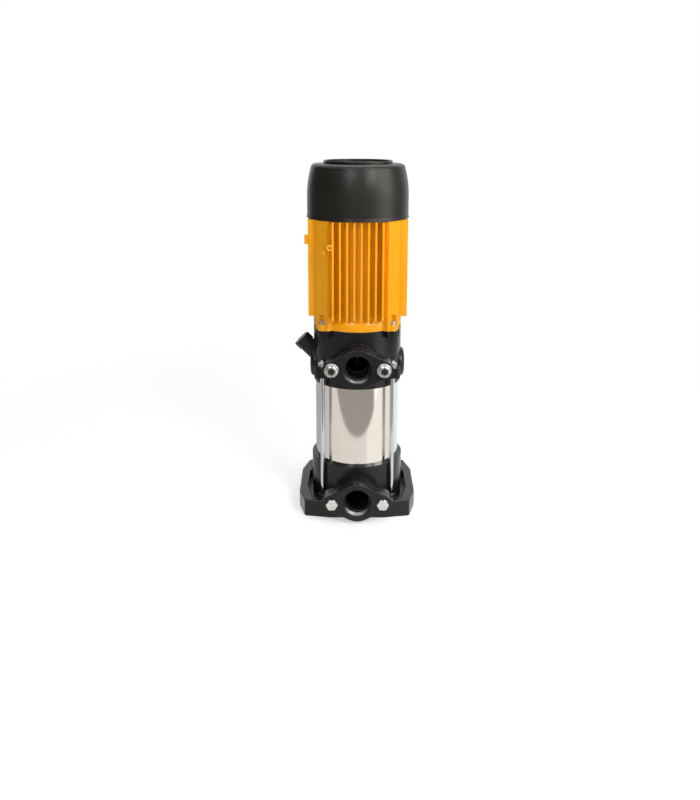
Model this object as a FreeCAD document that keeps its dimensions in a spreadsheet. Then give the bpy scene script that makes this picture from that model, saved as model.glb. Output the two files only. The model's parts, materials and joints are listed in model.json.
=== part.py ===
import FreeCAD, Part
import math
import os
import re
import Sketcher

# Vertical multistage centrifugal pump with an electric motor on top.
# Millimetres. Z runs up the shaft, the underside of the base is z = 0,
# both ports face -Y and the priming plug leans out towards -X.

os.makedirs("parts", exist_ok=True)
doc = FreeCAD.newDocument("vertical_pump")
sheet = doc.addObject("Spreadsheet::Sheet", "Sizes")

# Driving dimensions
sizes = {
    # cast base and its foot
    "foot_half_x": 104,
    "foot_side_y": 46,
    "foot_corner_x": 92.5,
    "foot_corner_y": 88,
    "foot_front_x": 47,
    "foot_half_y": 96,
    "foot_height": 30,
    "foot_rim": 15,
    "foot_floor": 12,
    "foot_corner_round": 6,
    "foot_top_round": 2.5,
    "underside_recess_r": 62,
    "underside_recess_depth": 4,
    "mount_hole_r": 6.5,
    "mount_half_x": 77,
    "mount_half_y": 50,
    "collar_height": 89,
    "collar_wall": 7,
    "chamber_r": 60,
    "chamber_floor": 15,
    "spigot_drop": 8,
    # sleeve round the stages
    "sleeve_r": 75,
    "sleeve_wall": 2,
    "sleeve_slot_depth": 16,
    "sleeve_fit": 0.2,
    "seal_width": 4,
    "seal_depth": 2.4,
    # stages
    "stage_count": 4,
    "stage_pitch": 38.5,
    "casing_gap": 1,
    "casing_wall": 3,
    "casing_floor": 2.5,
    "guide_vane_count": 6,
    "guide_vane_thick": 3,
    "guide_vane_height": 14,
    "eye_r": 22,
    "eye_wall": 1.8,
    "impeller_r": 56,
    "impeller_shroud": 2,
    "impeller_width": 7,
    "impeller_lift": 1.5,
    "blade_count": 6,
    "blade_thick": 2.5,
    "blade_arc_r": 35,
    "blade_centre_x": -2.6,
    "blade_centre_y": 24.4,
    "hub_r": 14,
    "vane_gap": 12,
    "rotor_gap": 0.4,
    "shaft_hole_gap": 3,
    "cut_margin": 6,
    "screw_clear": 0.3,
    # ports and their flanges
    "suction_axis": 39,
    "discharge_rise": 44.5,
    "port_neck_r": 33,
    "port_bore_r": 21,
    "port_face": 105,
    "port_ear_thick": 13,
    "gasket_thick": 1.5,
    "gasket_bore_gap": 1,
    "flange_thick": 14.5,
    "flange_centre_r": 34,
    "flange_ear_r": 15,
    "flange_round": 1.2,
    "port_thread_r": 23.9,
    "port_mouth_chamfer": 1,
    "flange_bolt_half": 44,
    "flange_bolt_r": 6,
    "flange_bolt_flats": 18,
    "flange_bolt_head": 7.5,
    "flange_bolt_reach": 11,
    "flange_washer_r": 12,
    "flange_washer_thick": 2.5,
    "flange_hole_clear": 0.6,
    # discharge head
    "head_r": 78,
    "head_height": 98,
    "head_skirt_drop": 4,
    "head_slot_depth": 12,
    "head_roof_under": 73,
    "head_roof_top": 85,
    "dry_well_r": 41,
    "hump_r": 27,
    "hump_reach": 84,
    "hump_rise": 25,
    "hump_round": 9,
    "head_top_pad": 13,
    "lug_rise": 15,
    "lug_height": 18,
    "lug_half": 13,
    "lug_round": 7,
    # tie rods
    "rod_half": 61,
    "rod_r": 4,
    "rod_boss_r": 9,
    "rod_boss_height": 29,
    "rod_seat": 12,
    "rod_hole_clear": 0.5,
    "rod_end": 3,
    "rod_washer_r": 8,
    "rod_washer_thick": 1.6,
    "rod_nut_flats": 13,
    "rod_nut_height": 6.5,
    "nut_recess_r": 9.5,
    "nut_recess_height": 20,
    # priming plug on a leaning neck
    "priming_x": 69,
    "priming_rise": 36.5,
    "priming_lean": 45,
    "priming_neck_r": 14.5,
    "priming_neck_length": 29,
    "priming_thread_r": 10.4,
    "priming_thread_length": 13,
    "priming_bore_r": 8,
    "priming_bore_length": 14,
    "priming_hex_flats": 28,
    "priming_hex_height": 14.9,
    "priming_seal_r": 14,
    "priming_seal_thick": 1.5,
    "thread_fit": 0.1,
    "plug_tip_gap": 1,
    # drain plug at the back of the base
    "drain_axis": 48,
    "drain_boss_r": 13,
    "drain_face": 89,
    "drain_thread_r": 8.2,
    "drain_thread_length": 12,
    "drain_hex_flats": 17,
    "drain_hex_height": 8,
    "drain_seal_r": 11.5,
    "drain_seal_thick": 1.5,
    # shaft and mechanical seal
    "shaft_r": 10,
    "shaft_nut_r": 8,
    "shaft_nut_flats": 22,
    "shaft_nut_height": 9,
    "shaft_tip": 3,
    "seal_seat_r": 17,
    "seal_seat_thick": 8,
    "seal_seat_bore": 11.5,
    "seal_ring_r": 16,
    "seal_ring_thick": 8,
    "seal_bellows_r": 18,
    "seal_bellows_length": 22,
    # motor housing
    "housing_height": 188,
    "housing_bore_r": 65,
    "housing_wall": 6,
    "housing_collar_r": 78,
    "housing_collar_height": 21,
    "housing_collar_round": 18,
    "housing_floor": 14,
    "bearing_sink": 5,
    "housing_spigot": 3,
    "spigot_fit": 0.15,
    "fin_reach": 85,
    "fin_pitch": 12,
    "fins_each_side": 4,
    "fin_tip": 3.6,
    "fin_root": 6.2,
    "rib_inner": 51.5,
    "rib_flat": 87,
    "motor_screw_half": 60,
    "motor_screw_r": 3,
    "motor_screw_head_r": 5,
    "motor_screw_head": 6,
    "motor_screw_socket_flats": 5,
    "motor_screw_seat": 10,
    "motor_screw_ear_r": 8.5,
    "motor_tap_floor": 2,
    "screw_niche_r": 6.5,
    "screw_niche_height": 17,
    # bearings, stator, rotor
    "bearing_width": 15,
    "bearing_bore_r": 12.5,
    "bearing_outer_r": 26,
    "bearing_ring": 4.5,
    "bearing_shield": 1,
    "bearing_hub_wall": 6,
    "bearing_lip": 3,
    "core_height": 90,
    "core_rise": 36,
    "core_bore_r": 42,
    "air_gap": 0.5,
    "core_seat_r": 17,
    "winding_height": 14,
    "winding_inner_r": 45,
    "winding_outer_r": 60,
    "end_ring_height": 8,
    "end_ring_r": 38,
    "end_ring_wall": 10,
    # upper end shield, fan, fan cover
    "shield_r": 82,
    "shield_thick": 9,
    "shield_boss": 3,
    "shield_hole_gap": 4,
    "shield_spigot": 4,
    "shield_tab_half": 9,
    "shield_tab_root": 12,
    "shield_tab_height": 18,
    "shield_screw_ring": 73,
    "shield_screw_r": 2.5,
    "shield_screw_head_r": 4.5,
    "shield_screw_head": 4,
    "shield_screw_reach": 12,
    "fan_seat_r": 9,
    "fan_lift": 12,
    "fan_hub_r": 16,
    "fan_hub_height": 28,
    "fan_r": 74,
    "fan_disc": 2.5,
    "fan_disc_r": 50,
    "fan_blade_count": 8,
    "fan_blade_thick": 2.2,
    "fan_blade_height": 26,
    "fan_blade_cut": 8,
    "fan_blade_root": 3,
    "clip_thick": 1.2,
    "clip_reach": 3,
    "shaft_end": 2,
    "cover_lift": 0.7,
    "cover_r": 89,
    "cover_waist_r": 88,
    "cover_lip": 6,
    "cover_straight": 37,
    "cover_flare_r": 172,
    "cover_shoulder_rise": 83,
    "cover_shoulder_r": 8,
    "cover_wall": 2.3,
    "intake_r": 56,
    "intake_wall": 3.4,
    "intake_rise": 5.5,
    "grille_spoke_count": 6,
    "grille_spoke_width": 7,
    "grille_spoke_depth": 4,
    "grille_hub_r": 17,
    "grille_ring_a": 29.5,
    "grille_ring_b": 43,
    "grille_ring_width": 2.6,
    "grille_ring_sink": 1,
    "cover_screw_rise": 11,
    "cover_screw_r": 2.5,
    "cover_screw_head_r": 4.5,
    "cover_screw_head": 2.6,
    "cover_screw_reach": 7,
    "tap_margin": 1,
    # terminal box on the back of the motor
    "box_pad_half": 43,
    "box_pad_face": 90,
    "box_base_rise": 45,
    "box_height": 96,
    "box_width": 96,
    "box_depth": 30,
    "box_wall": 3,
    "box_round": 7,
    "box_plate": 3,
    "box_seal_thick": 1.5,
    "box_seal_inset": 1,
    "box_seal_width": 15,
    "lid_depth": 9,
    "lid_round": 2.5,
    "lid_screw_inset": 8,
    "lid_screw_r": 2.5,
    "lid_screw_head_r": 4.5,
    "lid_screw_head": 3,
    "lid_screw_reach": 16,
    "lid_boss_r": 6,
    "block_width": 54,
    "block_height": 34,
    "block_depth": 9,
    "stud_r": 2.5,
    "stud_pitch_x": 16,
    "stud_pitch_z": 18,
    "stud_length": 13,
    "stud_nut_flats": 8,
    "stud_nut_height": 4,
    "gland_r": 10,
    "gland_bore_r": 5,
    "gland_flats": 24,
    "gland_hex": 6,
    "gland_cap_r": 11,
    "gland_cap": 14,
    "gland_chamfer": 2,
    "gland_wall_reach": 7,
    # cast lugs beside the left corner of the motor
    "eyelet_x": 47,
    "eyelet_rise": 146,
    "eyelet_r": 5.5,
    "eyelet_hole_r": 2,
    "eyelet_face": 86.6,
    "eyelet_hole_depth": 10,
    "lug_root": 20,
    "side_lug_reach": 91,
    "side_lug_rise": 154,
    "side_lug_half": 8,
    "side_lug_thick": 6,
    "side_lug_y": 37,
    "corner_boss_r": 4.5,
    "corner_boss_x": 57,
    "corner_boss_rise": 137,
    "corner_boss_face": 74,
}

# Levels and radii that follow from the driving dimensions
places = {
    "collar_r": "sleeve_r + collar_wall",
    "sleeve_inner_r": "sleeve_r - sleeve_wall",
    "spigot_r": "sleeve_inner_r - sleeve_fit",
    "stack_z": "collar_height - spigot_drop",
    "sleeve_foot_z": "collar_height - sleeve_slot_depth",
    "stack_top": "stack_z + stage_count * stage_pitch",
    "skirt_z": "stack_top - head_skirt_drop",
    "sleeve_top_z": "skirt_z + head_slot_depth",
    "discharge_axis": "stack_top + discharge_rise",
    "roof_under_z": "stack_top + head_roof_under",
    "roof_top_z": "stack_top + head_roof_top",
    "head_top": "stack_top + head_height",
    "hump_z": "stack_top + hump_rise",
    "lug_z": "stack_top + lug_rise",
    "lug_top": "lug_z + lug_height",
    "washer_top": "lug_top + rod_washer_thick",
    "nut_top": "washer_top + rod_nut_height",
    "rod_top": "nut_top + rod_end",
    "gasket_face": "port_face + gasket_thick",
    "flange_face": "gasket_face + flange_thick",
    "impeller_z": "stack_z + casing_floor + impeller_lift",
    "hub_stack_top": "impeller_z + stage_count * stage_pitch",
    "collar_top": "head_top + housing_collar_height",
    "housing_outer_r": "housing_bore_r + housing_wall",
    "collar_step": "housing_collar_r - housing_outer_r",
    "collar_bend_z": "collar_top - sqrt(2 * housing_collar_round * collar_step - collar_step^2)",
    "housing_top": "head_top + housing_height",
    "bearing_z": "head_top + housing_floor - bearing_lip - bearing_sink",
    "upper_bearing_z": "housing_top - bearing_sink",
    "core_z": "head_top + core_rise",
    "core_top": "core_z + core_height",
    "rib_outer": "rib_flat * sqrt(2) - rib_inner",
    "screw_seat_z": "head_top + motor_screw_seat",
    "shield_top": "housing_top + shield_thick",
    "fan_z": "shield_top + fan_lift",
    "fan_top": "fan_z + fan_hub_height",
    "cover_z": "housing_top + cover_lift",
    "cover_waist_z": "cover_z + cover_lip",
    "cover_bend_z": "cover_z + cover_straight",
    "cover_shoulder_z": "cover_z + cover_shoulder_rise",
    "cover_fall": "cover_flare_r - sqrt(cover_flare_r^2 - (cover_shoulder_z - cover_bend_z)^2)",
    "cover_shoulder_x": "cover_waist_r - cover_fall",
    "cover_top_z": "cover_shoulder_z + cover_shoulder_r",
    "intake_top": "cover_top_z + intake_rise",
    "cover_screw_z": "cover_z + cover_screw_rise",
    "cover_inner_r": "cover_waist_r - cover_wall",
    "box_z": "head_top + box_base_rise",
    "box_mid_z": "box_z + box_height / 2",
    "box_face": "box_pad_face + box_depth",
    "box_seal_face": "box_face + box_seal_thick",
    "lid_face": "box_seal_face + lid_depth",
    "block_face": "box_pad_face + box_plate + block_depth",
    "seal_seat_z": "roof_under_z",
    "seal_ring_z": "seal_seat_z - seal_ring_thick",
    "bellows_z": "seal_ring_z - seal_bellows_length",
}

corners = [(1, 1), (-1, 1), (-1, -1), (1, -1)]


# Sheet and expressions
def fill_sheet():
    for row, (name, value) in enumerate(sizes.items(), start=1):
        sheet.set("A%d" % row, name)
        sheet.set("B%d" % row, str(value))
        sheet.setAlias("B%d" % row, name)
    doc.recompute()


def ex(text):
    """Turn words such as rod_r into cells and levels into their sums."""
    def swap(found):
        word = found.group(0)
        if word in places:
            return "(" + ex(places[word]) + ")"
        if word in sizes:
            return "Sizes." + word
        return word
    return re.sub(r"[a-z_]+(?:_[a-z]+)*", swap, str(text))


def num(text):
    return float(sheet.evalExpression(ex(text)))


def count(name):
    return int(round(num(name)))


# Sketches
def new_body(label, several=False):
    body = doc.addObject("PartDesign::Body", label)
    body.Label = label
    body.AllowCompound = several
    return body


def origin_part(body, role):
    return next(item for item in body.Origin.OriginFeatures if item.Role == role)


def new_sketch(body, name, plane="XY_Plane", offset="0"):
    """A sketch on one of the body's own planes, moved along its normal."""
    sketch = body.newObject("Sketcher::SketchObject", name)
    sketch.AttachmentSupport = [(origin_part(body, plane), "")]
    sketch.MapMode = "FlatFace"
    sketch.setExpression("AttachmentOffset.Base.z", ex(offset))
    return sketch


def fix_point(sketch, edge, end, x, y):
    across = sketch.addConstraint(Sketcher.Constraint("DistanceX", -1, 1, edge, end, num(x)))
    sketch.setExpression("Constraints[%d]" % across, ex(x))
    up = sketch.addConstraint(Sketcher.Constraint("DistanceY", -1, 1, edge, end, num(y)))
    sketch.setExpression("Constraints[%d]" % up, ex(y))


def add_circle(sketch, x, y, radius):
    centre = FreeCAD.Vector(num(x), num(y), 0)
    edge = sketch.addGeometry(Part.Circle(centre, FreeCAD.Vector(0, 0, 1), num(radius)), False)
    size = sketch.addConstraint(Sketcher.Constraint("Radius", edge, num(radius)))
    sketch.setExpression("Constraints[%d]" % size, ex(radius))
    fix_point(sketch, edge, 3, x, y)


def add_outline(sketch, points, arcs=None):
    """A closed outline through the points; arcs maps a side's number to its centre and radius."""
    arcs = arcs or {}
    spots = [FreeCAD.Vector(num(x), num(y), 0) for x, y in points]
    total = len(points)
    ends = []
    for side in range(total):
        first = spots[side]
        last = spots[(side + 1) % total]
        if side not in arcs:
            edge = sketch.addGeometry(Part.LineSegment(first, last), False)
            ends.append((edge, 1, 2))
            continue
        centre_x, centre_y, radius = arcs[side]
        centre = FreeCAD.Vector(num(centre_x), num(centre_y), 0)
        circle = Part.Circle(centre, FreeCAD.Vector(0, 0, 1), num(radius))
        start = math.atan2(first.y - centre.y, first.x - centre.x)
        stop = math.atan2(last.y - centre.y, last.x - centre.x)
        sweep = (stop - start) % (2 * math.pi)
        forward = sweep <= math.pi
        if not forward:
            start, stop = stop, start
        edge = sketch.addGeometry(Part.ArcOfCircle(circle, start, stop), False)
        size = sketch.addConstraint(Sketcher.Constraint("Radius", edge, num(radius)))
        sketch.setExpression("Constraints[%d]" % size, ex(radius))
        ends.append((edge, 1, 2) if forward else (edge, 2, 1))
    for side in range(total):
        edge, _, tail = ends[side]
        following, head, _ = ends[(side + 1) % total]
        sketch.addConstraint(Sketcher.Constraint("Coincident", edge, tail, following, head))
    for side, (x, y) in enumerate(points):
        edge, head, _ = ends[side]
        fix_point(sketch, edge, head, x, y)


def add_box(sketch, low_x, high_x, low_y, high_y):
    add_outline(sketch, [(low_x, low_y), (high_x, low_y), (high_x, high_y), (low_x, high_y)])


def add_hexagon(sketch, x, y, flats, point_up=True):
    """A hexagon by its width across flats, with a corner or a flat at the top."""
    points = []
    for side in range(6):
        turn = 60 * side + (30 if point_up else 0)
        points.append(("%s + %s / sqrt(3) * cos(%d deg)" % (x, flats, turn),
                       "%s + %s / sqrt(3) * sin(%d deg)" % (y, flats, turn)))
    add_outline(sketch, points)


# Features
def check_change(body, feature, grows):
    """Stop if a feature left the body as it was or turned it the wrong way."""
    if feature.BaseFeature is None:
        return
    before = feature.BaseFeature.Shape.Volume
    after = feature.Shape.Volume
    if (after > before) != grows or abs(after - before) < 1e-6:
        raise RuntimeError("%s in %s changed nothing" % (feature.Name, body.Label))


def add_feature(body, kind, name, sketch):
    feature = body.newObject("PartDesign::" + kind, name)
    feature.Profile = sketch
    return feature


def settle(body, feature, grows):
    doc.recompute()
    check_change(body, feature, grows)
    return feature


def pad(body, name, sketch, length, backward=False):
    """Grow a sketch along its normal, or against it."""
    feature = add_feature(body, "Pad", name, sketch)
    feature.Reversed = backward
    feature.setExpression("Length", ex(length))
    return settle(body, feature, True)


def pocket(body, name, sketch, length, forward=False):
    """Cut a sketch against its normal, or along it."""
    feature = add_feature(body, "Pocket", name, sketch)
    feature.Reversed = forward
    feature.setExpression("Length", ex(length))
    return settle(body, feature, False)


def revolve(body, name, sketch):
    feature = add_feature(body, "Revolution", name, sketch)
    feature.ReferenceAxis = (sketch, ["V_Axis"])
    feature.Angle = 360
    return settle(body, feature, True)


def groove(body, name, sketch):
    feature = add_feature(body, "Groove", name, sketch)
    feature.ReferenceAxis = (sketch, ["V_Axis"])
    feature.Angle = 360
    return settle(body, feature, False)


def polar(body, name, features, copies, axis="Z_Axis"):
    pattern = body.newObject("PartDesign::PolarPattern", name)
    pattern.Originals = features
    pattern.Axis = (origin_part(body, axis), [""])
    pattern.Angle = 360
    pattern.Occurrences = copies
    body.Tip = pattern
    doc.recompute()
    return pattern


def finish_edges(body, kind, name, size, wanted):
    """Round or chamfer the edges of the body that the test picks."""
    base = body.Tip
    names = ["Edge%d" % (i + 1) for i, edge in enumerate(base.Shape.Edges) if wanted(edge)]
    if not names:
        raise RuntimeError("no edge for %s in %s" % (name, body.Label))
    feature = body.newObject("PartDesign::" + kind, name)
    feature.Base = (base, names)
    feature.setExpression("Radius" if kind == "Fillet" else "Size", ex(size))
    doc.recompute()
    return feature


def flat_at(edge, height, axis="z"):
    """True for an edge that lies level at the height along the axis."""
    box = edge.BoundBox
    low = getattr(box, axis.upper() + "Min")
    high = getattr(box, axis.upper() + "Max")
    return abs(low - height) < 0.01 and abs(high - height) < 0.01


def upright(edge):
    box = edge.BoundBox
    return box.XLength < 0.01 and box.YLength < 0.01


def turned(label, profiles):
    """A body turned about the shaft axis from closed profiles of radius and height."""
    body = new_body(label, several=len(profiles) > 1)
    sketch = new_sketch(body, "profile", "XZ_Plane")
    for profile in profiles:
        add_outline(sketch, profile)
    revolve(body, "turned", sketch)
    return body


def ring_profile(inner, outer, low, high):
    return [(inner, low), (outer, low), (outer, high), (inner, high)]


# Base, sleeve and stages
def foot_outline(shrink):
    """The twelve corners of the foot, moved in by the shrink."""
    pairs = [("foot_half_x", "foot_side_y"), ("foot_corner_x", "foot_corner_y"),
             ("foot_front_x", "foot_half_y")]
    points = []
    for turn, (across, along) in enumerate(corners):
        row = pairs if turn % 2 == 0 else pairs[::-1]
        for x, y in row:
            points.append(("%d * (%s - %s)" % (across, x, shrink),
                           "%d * (%s - %s)" % (along, y, shrink)))
    return points


def add_port_neck(body, axis):
    """The neck and the ear flange of a port, from the wall out to the port's face."""
    neck = new_sketch(body, "neck_outline", "XZ_Plane", "spigot_r - 4")
    add_circle(neck, "0", axis, "port_neck_r")
    pad(body, "neck", neck, "port_face - spigot_r + 4")
    ear = new_sketch(body, "ear_outline", "XZ_Plane", "port_face - port_ear_thick")
    add_flange_outline(ear, axis)
    pad(body, "ear", ear, "port_ear_thick")


def cut_port(body, axis):
    """The port's bore into the chamber and the tapped holes of its ears."""
    bore = new_sketch(body, "port_bore_outline", "XZ_Plane", "port_face")
    add_circle(bore, "0", axis, "port_bore_r")
    pocket(body, "port_bore", bore, "port_face - chamber_r + 20")
    taps = new_sketch(body, "port_taps_outline", "XZ_Plane", "port_face")
    for side in (-1, 1):
        add_circle(taps, "%d * flange_bolt_half" % side, axis, "flange_bolt_r")
    pocket(body, "port_taps", taps, "port_ear_thick")


def add_flange_outline(sketch, axis):
    """A round centre and two bolt ears joined by the tangents between them."""
    lean = "((flange_centre_r - flange_ear_r) / flange_bolt_half)"
    rise = "sqrt(1 - %s^2)" % lean
    ear_x = "(flange_bolt_half + flange_ear_r * %s)" % lean
    ear_y = "(flange_ear_r * %s)" % rise
    mid_x = "(flange_centre_r * %s)" % lean
    mid_y = "(flange_centre_r * %s)" % rise
    tip = "(flange_bolt_half + flange_ear_r)"
    points = [("-" + ear_x, "%s - %s" % (axis, ear_y)), ("-" + mid_x, "%s - %s" % (axis, mid_y)),
              (mid_x, "%s - %s" % (axis, mid_y)), (ear_x, "%s - %s" % (axis, ear_y)),
              (tip, axis), (ear_x, "%s + %s" % (axis, ear_y)),
              (mid_x, "%s + %s" % (axis, mid_y)), ("-" + mid_x, "%s + %s" % (axis, mid_y)),
              ("-" + ear_x, "%s + %s" % (axis, ear_y)), ("-" + tip, axis)]
    right = ("flange_bolt_half", axis, "flange_ear_r")
    left = ("-flange_bolt_half", axis, "flange_ear_r")
    middle = ("0", axis, "flange_centre_r")
    add_outline(sketch, points, {1: middle, 3: right, 4: right, 6: middle, 8: left, 9: left})


def make_base():
    body = new_body("pump_base")
    foot = new_sketch(body, "foot_outline")
    add_outline(foot, foot_outline("0"))
    pad(body, "foot", foot, "foot_height")
    finish_edges(body, "Fillet", "foot_corners", "foot_corner_round", upright)
    well = new_sketch(body, "well_outline", "XY_Plane", "foot_height")
    add_outline(well, foot_outline("foot_rim"))
    pocket(body, "well", well, "foot_height - foot_floor")
    finish_edges(body, "Fillet", "foot_rim_round", "foot_top_round",
                 lambda edge: flat_at(edge, num("foot_height")))
    collar = new_sketch(body, "collar_profile", "XZ_Plane")
    add_outline(collar, ring_profile("0", "collar_r", "underside_recess_depth", "collar_height"))
    revolve(body, "collar", collar)
    bosses = new_sketch(body, "rod_boss_outline", "XY_Plane", "underside_recess_depth")
    for across, along in corners:
        add_circle(bosses, "%d * rod_half" % across, "%d * rod_half" % along, "rod_boss_r")
    pad(body, "rod_bosses", bosses, "rod_boss_height - underside_recess_depth")
    drain = new_sketch(body, "drain_boss_outline", "XZ_Plane", "-drain_face")
    add_circle(drain, "0", "drain_axis", "drain_boss_r")
    pad(body, "drain_boss", drain, "drain_face - spigot_r")
    add_port_neck(body, "suction_axis")
    inside = new_sketch(body, "inside_profile", "XZ_Plane")
    seal_root = "spigot_r - seal_depth"
    add_outline(inside, [("0", "chamber_floor"), ("chamber_r", "chamber_floor"),
                         ("chamber_r", "stack_z"), ("spigot_r", "stack_z"),
                         ("spigot_r", "sleeve_foot_z + seal_width"),
                         (seal_root, "sleeve_foot_z + seal_width"), (seal_root, "sleeve_foot_z"),
                         ("sleeve_r", "sleeve_foot_z"), ("sleeve_r", "collar_height + cut_margin"),
                         ("0", "collar_height + cut_margin")])
    groove(body, "inside", inside)
    cut_port(body, "suction_axis")
    recess = new_sketch(body, "recess_outline", "XY_Plane", "underside_recess_depth")
    add_circle(recess, "0", "0", "underside_recess_r")
    pocket(body, "underside_recess", recess, "underside_recess_depth")
    cut_base_holes(body)
    return body


def cut_base_holes(body):
    mounts = new_sketch(body, "mount_hole_outline", "XY_Plane", "foot_height")
    for across, along in corners:
        add_circle(mounts, "%d * mount_half_x" % across, "%d * mount_half_y" % along,
                   "mount_hole_r")
    pocket(body, "mount_holes", mounts, "foot_height")
    rods = new_sketch(body, "rod_hole_outline", "XY_Plane", "rod_boss_height")
    for across, along in corners:
        add_circle(rods, "%d * rod_half" % across, "%d * rod_half" % along, "rod_r")
    pocket(body, "rod_holes", rods, "rod_boss_height - rod_seat")
    drain = new_sketch(body, "drain_hole_outline", "XZ_Plane", "-drain_face")
    add_circle(drain, "0", "drain_axis", "drain_thread_r")
    pocket(body, "drain_hole", drain, "drain_face - chamber_r + cut_margin", forward=True)


def make_sleeve_parts():
    turned("outer_sleeve", [ring_profile("sleeve_inner_r", "sleeve_r",
                                         "sleeve_foot_z", "sleeve_top_z")])
    turned("sleeve_seal_lower", [ring_profile("spigot_r - seal_depth", "sleeve_inner_r",
                                              "sleeve_foot_z", "sleeve_foot_z + seal_width")])
    turned("sleeve_seal_upper", [ring_profile("spigot_r - seal_depth", "sleeve_inner_r",
                                              "sleeve_top_z - seal_width", "sleeve_top_z")])


def make_stage_casing(stage):
    """A cup with an eye in its floor and guide vanes that hang from the wall above the impeller."""
    body = new_body("stage_casing_%d" % stage)
    floor = "(stack_z + %d * stage_pitch)" % (stage - 1)
    profile = new_sketch(body, "cup_profile", "XZ_Plane")
    outer = "(sleeve_inner_r - casing_gap)"
    add_outline(profile, [("eye_r + eye_wall + rotor_gap", floor), (outer, floor),
                          (outer, floor + " + stage_pitch"),
                          (outer + " - casing_wall", floor + " + stage_pitch"),
                          (outer + " - casing_wall", floor + " + casing_floor"),
                          ("eye_r + eye_wall + rotor_gap", floor + " + casing_floor")])
    revolve(body, "cup", profile)
    vane = new_sketch(body, "vane_outline", "XY_Plane", floor + " + stage_pitch - guide_vane_height")
    add_box(vane, "hub_r + vane_gap", outer + " - casing_wall / 2", "0", "guide_vane_thick")
    blade = pad(body, "vane", vane, "guide_vane_height")
    polar(body, "vanes", [blade], count("guide_vane_count"))
    return body


def make_impeller(stage):
    """A closed impeller: eye ring and lower shroud, swept blades, upper shroud and hub."""
    body = new_body("impeller_%d" % stage)
    low = "(impeller_z + %d * stage_pitch)" % (stage - 1)
    shroud_z = low + " + impeller_shroud"
    blade_z = shroud_z + " + impeller_shroud"
    upper_z = blade_z + " + impeller_width"
    profile = new_sketch(body, "shroud_profiles", "XZ_Plane")
    add_outline(profile, [("shaft_r", low), ("hub_r", low), ("hub_r", upper_z),
                          ("impeller_r", upper_z), ("impeller_r", upper_z + " + impeller_shroud"),
                          ("hub_r", upper_z + " + impeller_shroud"), ("hub_r", low + " + stage_pitch"),
                          ("shaft_r", low + " + stage_pitch")])
    revolve(body, "hub_and_upper_shroud", profile)
    blade = new_sketch(body, "blade_outline", "XY_Plane", blade_z + " - impeller_shroud / 2")
    outer = "(blade_arc_r + blade_thick / 2)"
    inner = "(blade_arc_r - blade_thick / 2)"
    half = "sqrt(0.5)"
    points = [("blade_centre_x + %s * %s" % (outer, half), "blade_centre_y - %s * %s" % (outer, half)),
              ("blade_centre_x + %s * %s" % (outer, half), "blade_centre_y + %s * %s" % (outer, half)),
              ("blade_centre_x + %s * %s" % (inner, half), "blade_centre_y + %s * %s" % (inner, half)),
              ("blade_centre_x + %s * %s" % (inner, half), "blade_centre_y - %s * %s" % (inner, half))]
    centre = ("blade_centre_x", "blade_centre_y")
    add_outline(blade, points, {0: centre + (outer,), 2: centre + (inner,)})
    first = pad(body, "blade", blade, "impeller_width + impeller_shroud")
    polar(body, "blades", [first], count("blade_count"))
    eye = new_sketch(body, "eye_profile", "XZ_Plane")
    add_outline(eye, [("eye_r", low + " - impeller_lift"),
                      ("eye_r + eye_wall", low + " - impeller_lift"), ("eye_r + eye_wall", shroud_z),
                      ("impeller_r", shroud_z), ("impeller_r", blade_z), ("eye_r", blade_z)])
    revolve(body, "eye_and_lower_shroud", eye)
    return body


# Discharge head
def make_head():
    body = new_body("discharge_head")
    shell = new_sketch(body, "shell_profile", "XZ_Plane")
    add_outline(shell, ring_profile("0", "head_r", "skirt_z", "head_top"))
    revolve(body, "shell", shell)
    add_humps(body)
    lugs = new_sketch(body, "lug_outline", "XY_Plane", "lug_z")
    for across, along in corners:
        near = "%d * (rod_half - lug_half)"
        far = "%d * (rod_half + lug_half)"
        bend = "%d * (rod_half + lug_half - lug_round)"
        add_outline(lugs, [(near % across, near % along), (far % across, near % along),
                           (far % across, bend % along), (bend % across, far % along),
                           (near % across, far % along)],
                    {2: (bend % across, bend % along, "lug_round")})
    pad(body, "lugs", lugs, "lug_height")
    add_top_pads(body)
    neck = tilted_sketch(body, "priming_neck_outline", "0")
    add_circle(neck, "0", "0", "priming_neck_r")
    pad(body, "priming_neck", neck, "priming_neck_length")
    add_port_neck(body, "discharge_axis")
    cut_head_inside(body)
    cut_port(body, "discharge_axis")
    cut_head_holes(body)
    return body


def add_humps(body):
    """Round swellings at both sides of the discharge chamber."""
    for name, side in (("right", 1), ("left", -1)):
        hump = new_sketch(body, "hump_%s_outline" % name, "YZ_Plane", "%d * hump_reach" % side)
        add_circle(hump, "0", "hump_z", "hump_r")
        pad(body, "hump_" + name, hump, "hump_reach - spigot_r + 6", backward=side > 0)
    finish_edges(body, "Fillet", "hump_rounds", "hump_round",
                 lambda edge: abs(abs(edge.BoundBox.Center.x) - num("hump_reach")) < 0.01)


def add_screw_ears(body, low, height):
    """Round ears that carry the four screws between the head and the motor."""
    ears = new_sketch(body, "screw_ear_outline", "XY_Plane", low)
    for across, along in corners:
        add_circle(ears, "%d * motor_screw_half" % across, "%d * motor_screw_half" % along,
                   "motor_screw_ear_r")
    pad(body, "screw_ears", ears, height)


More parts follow.
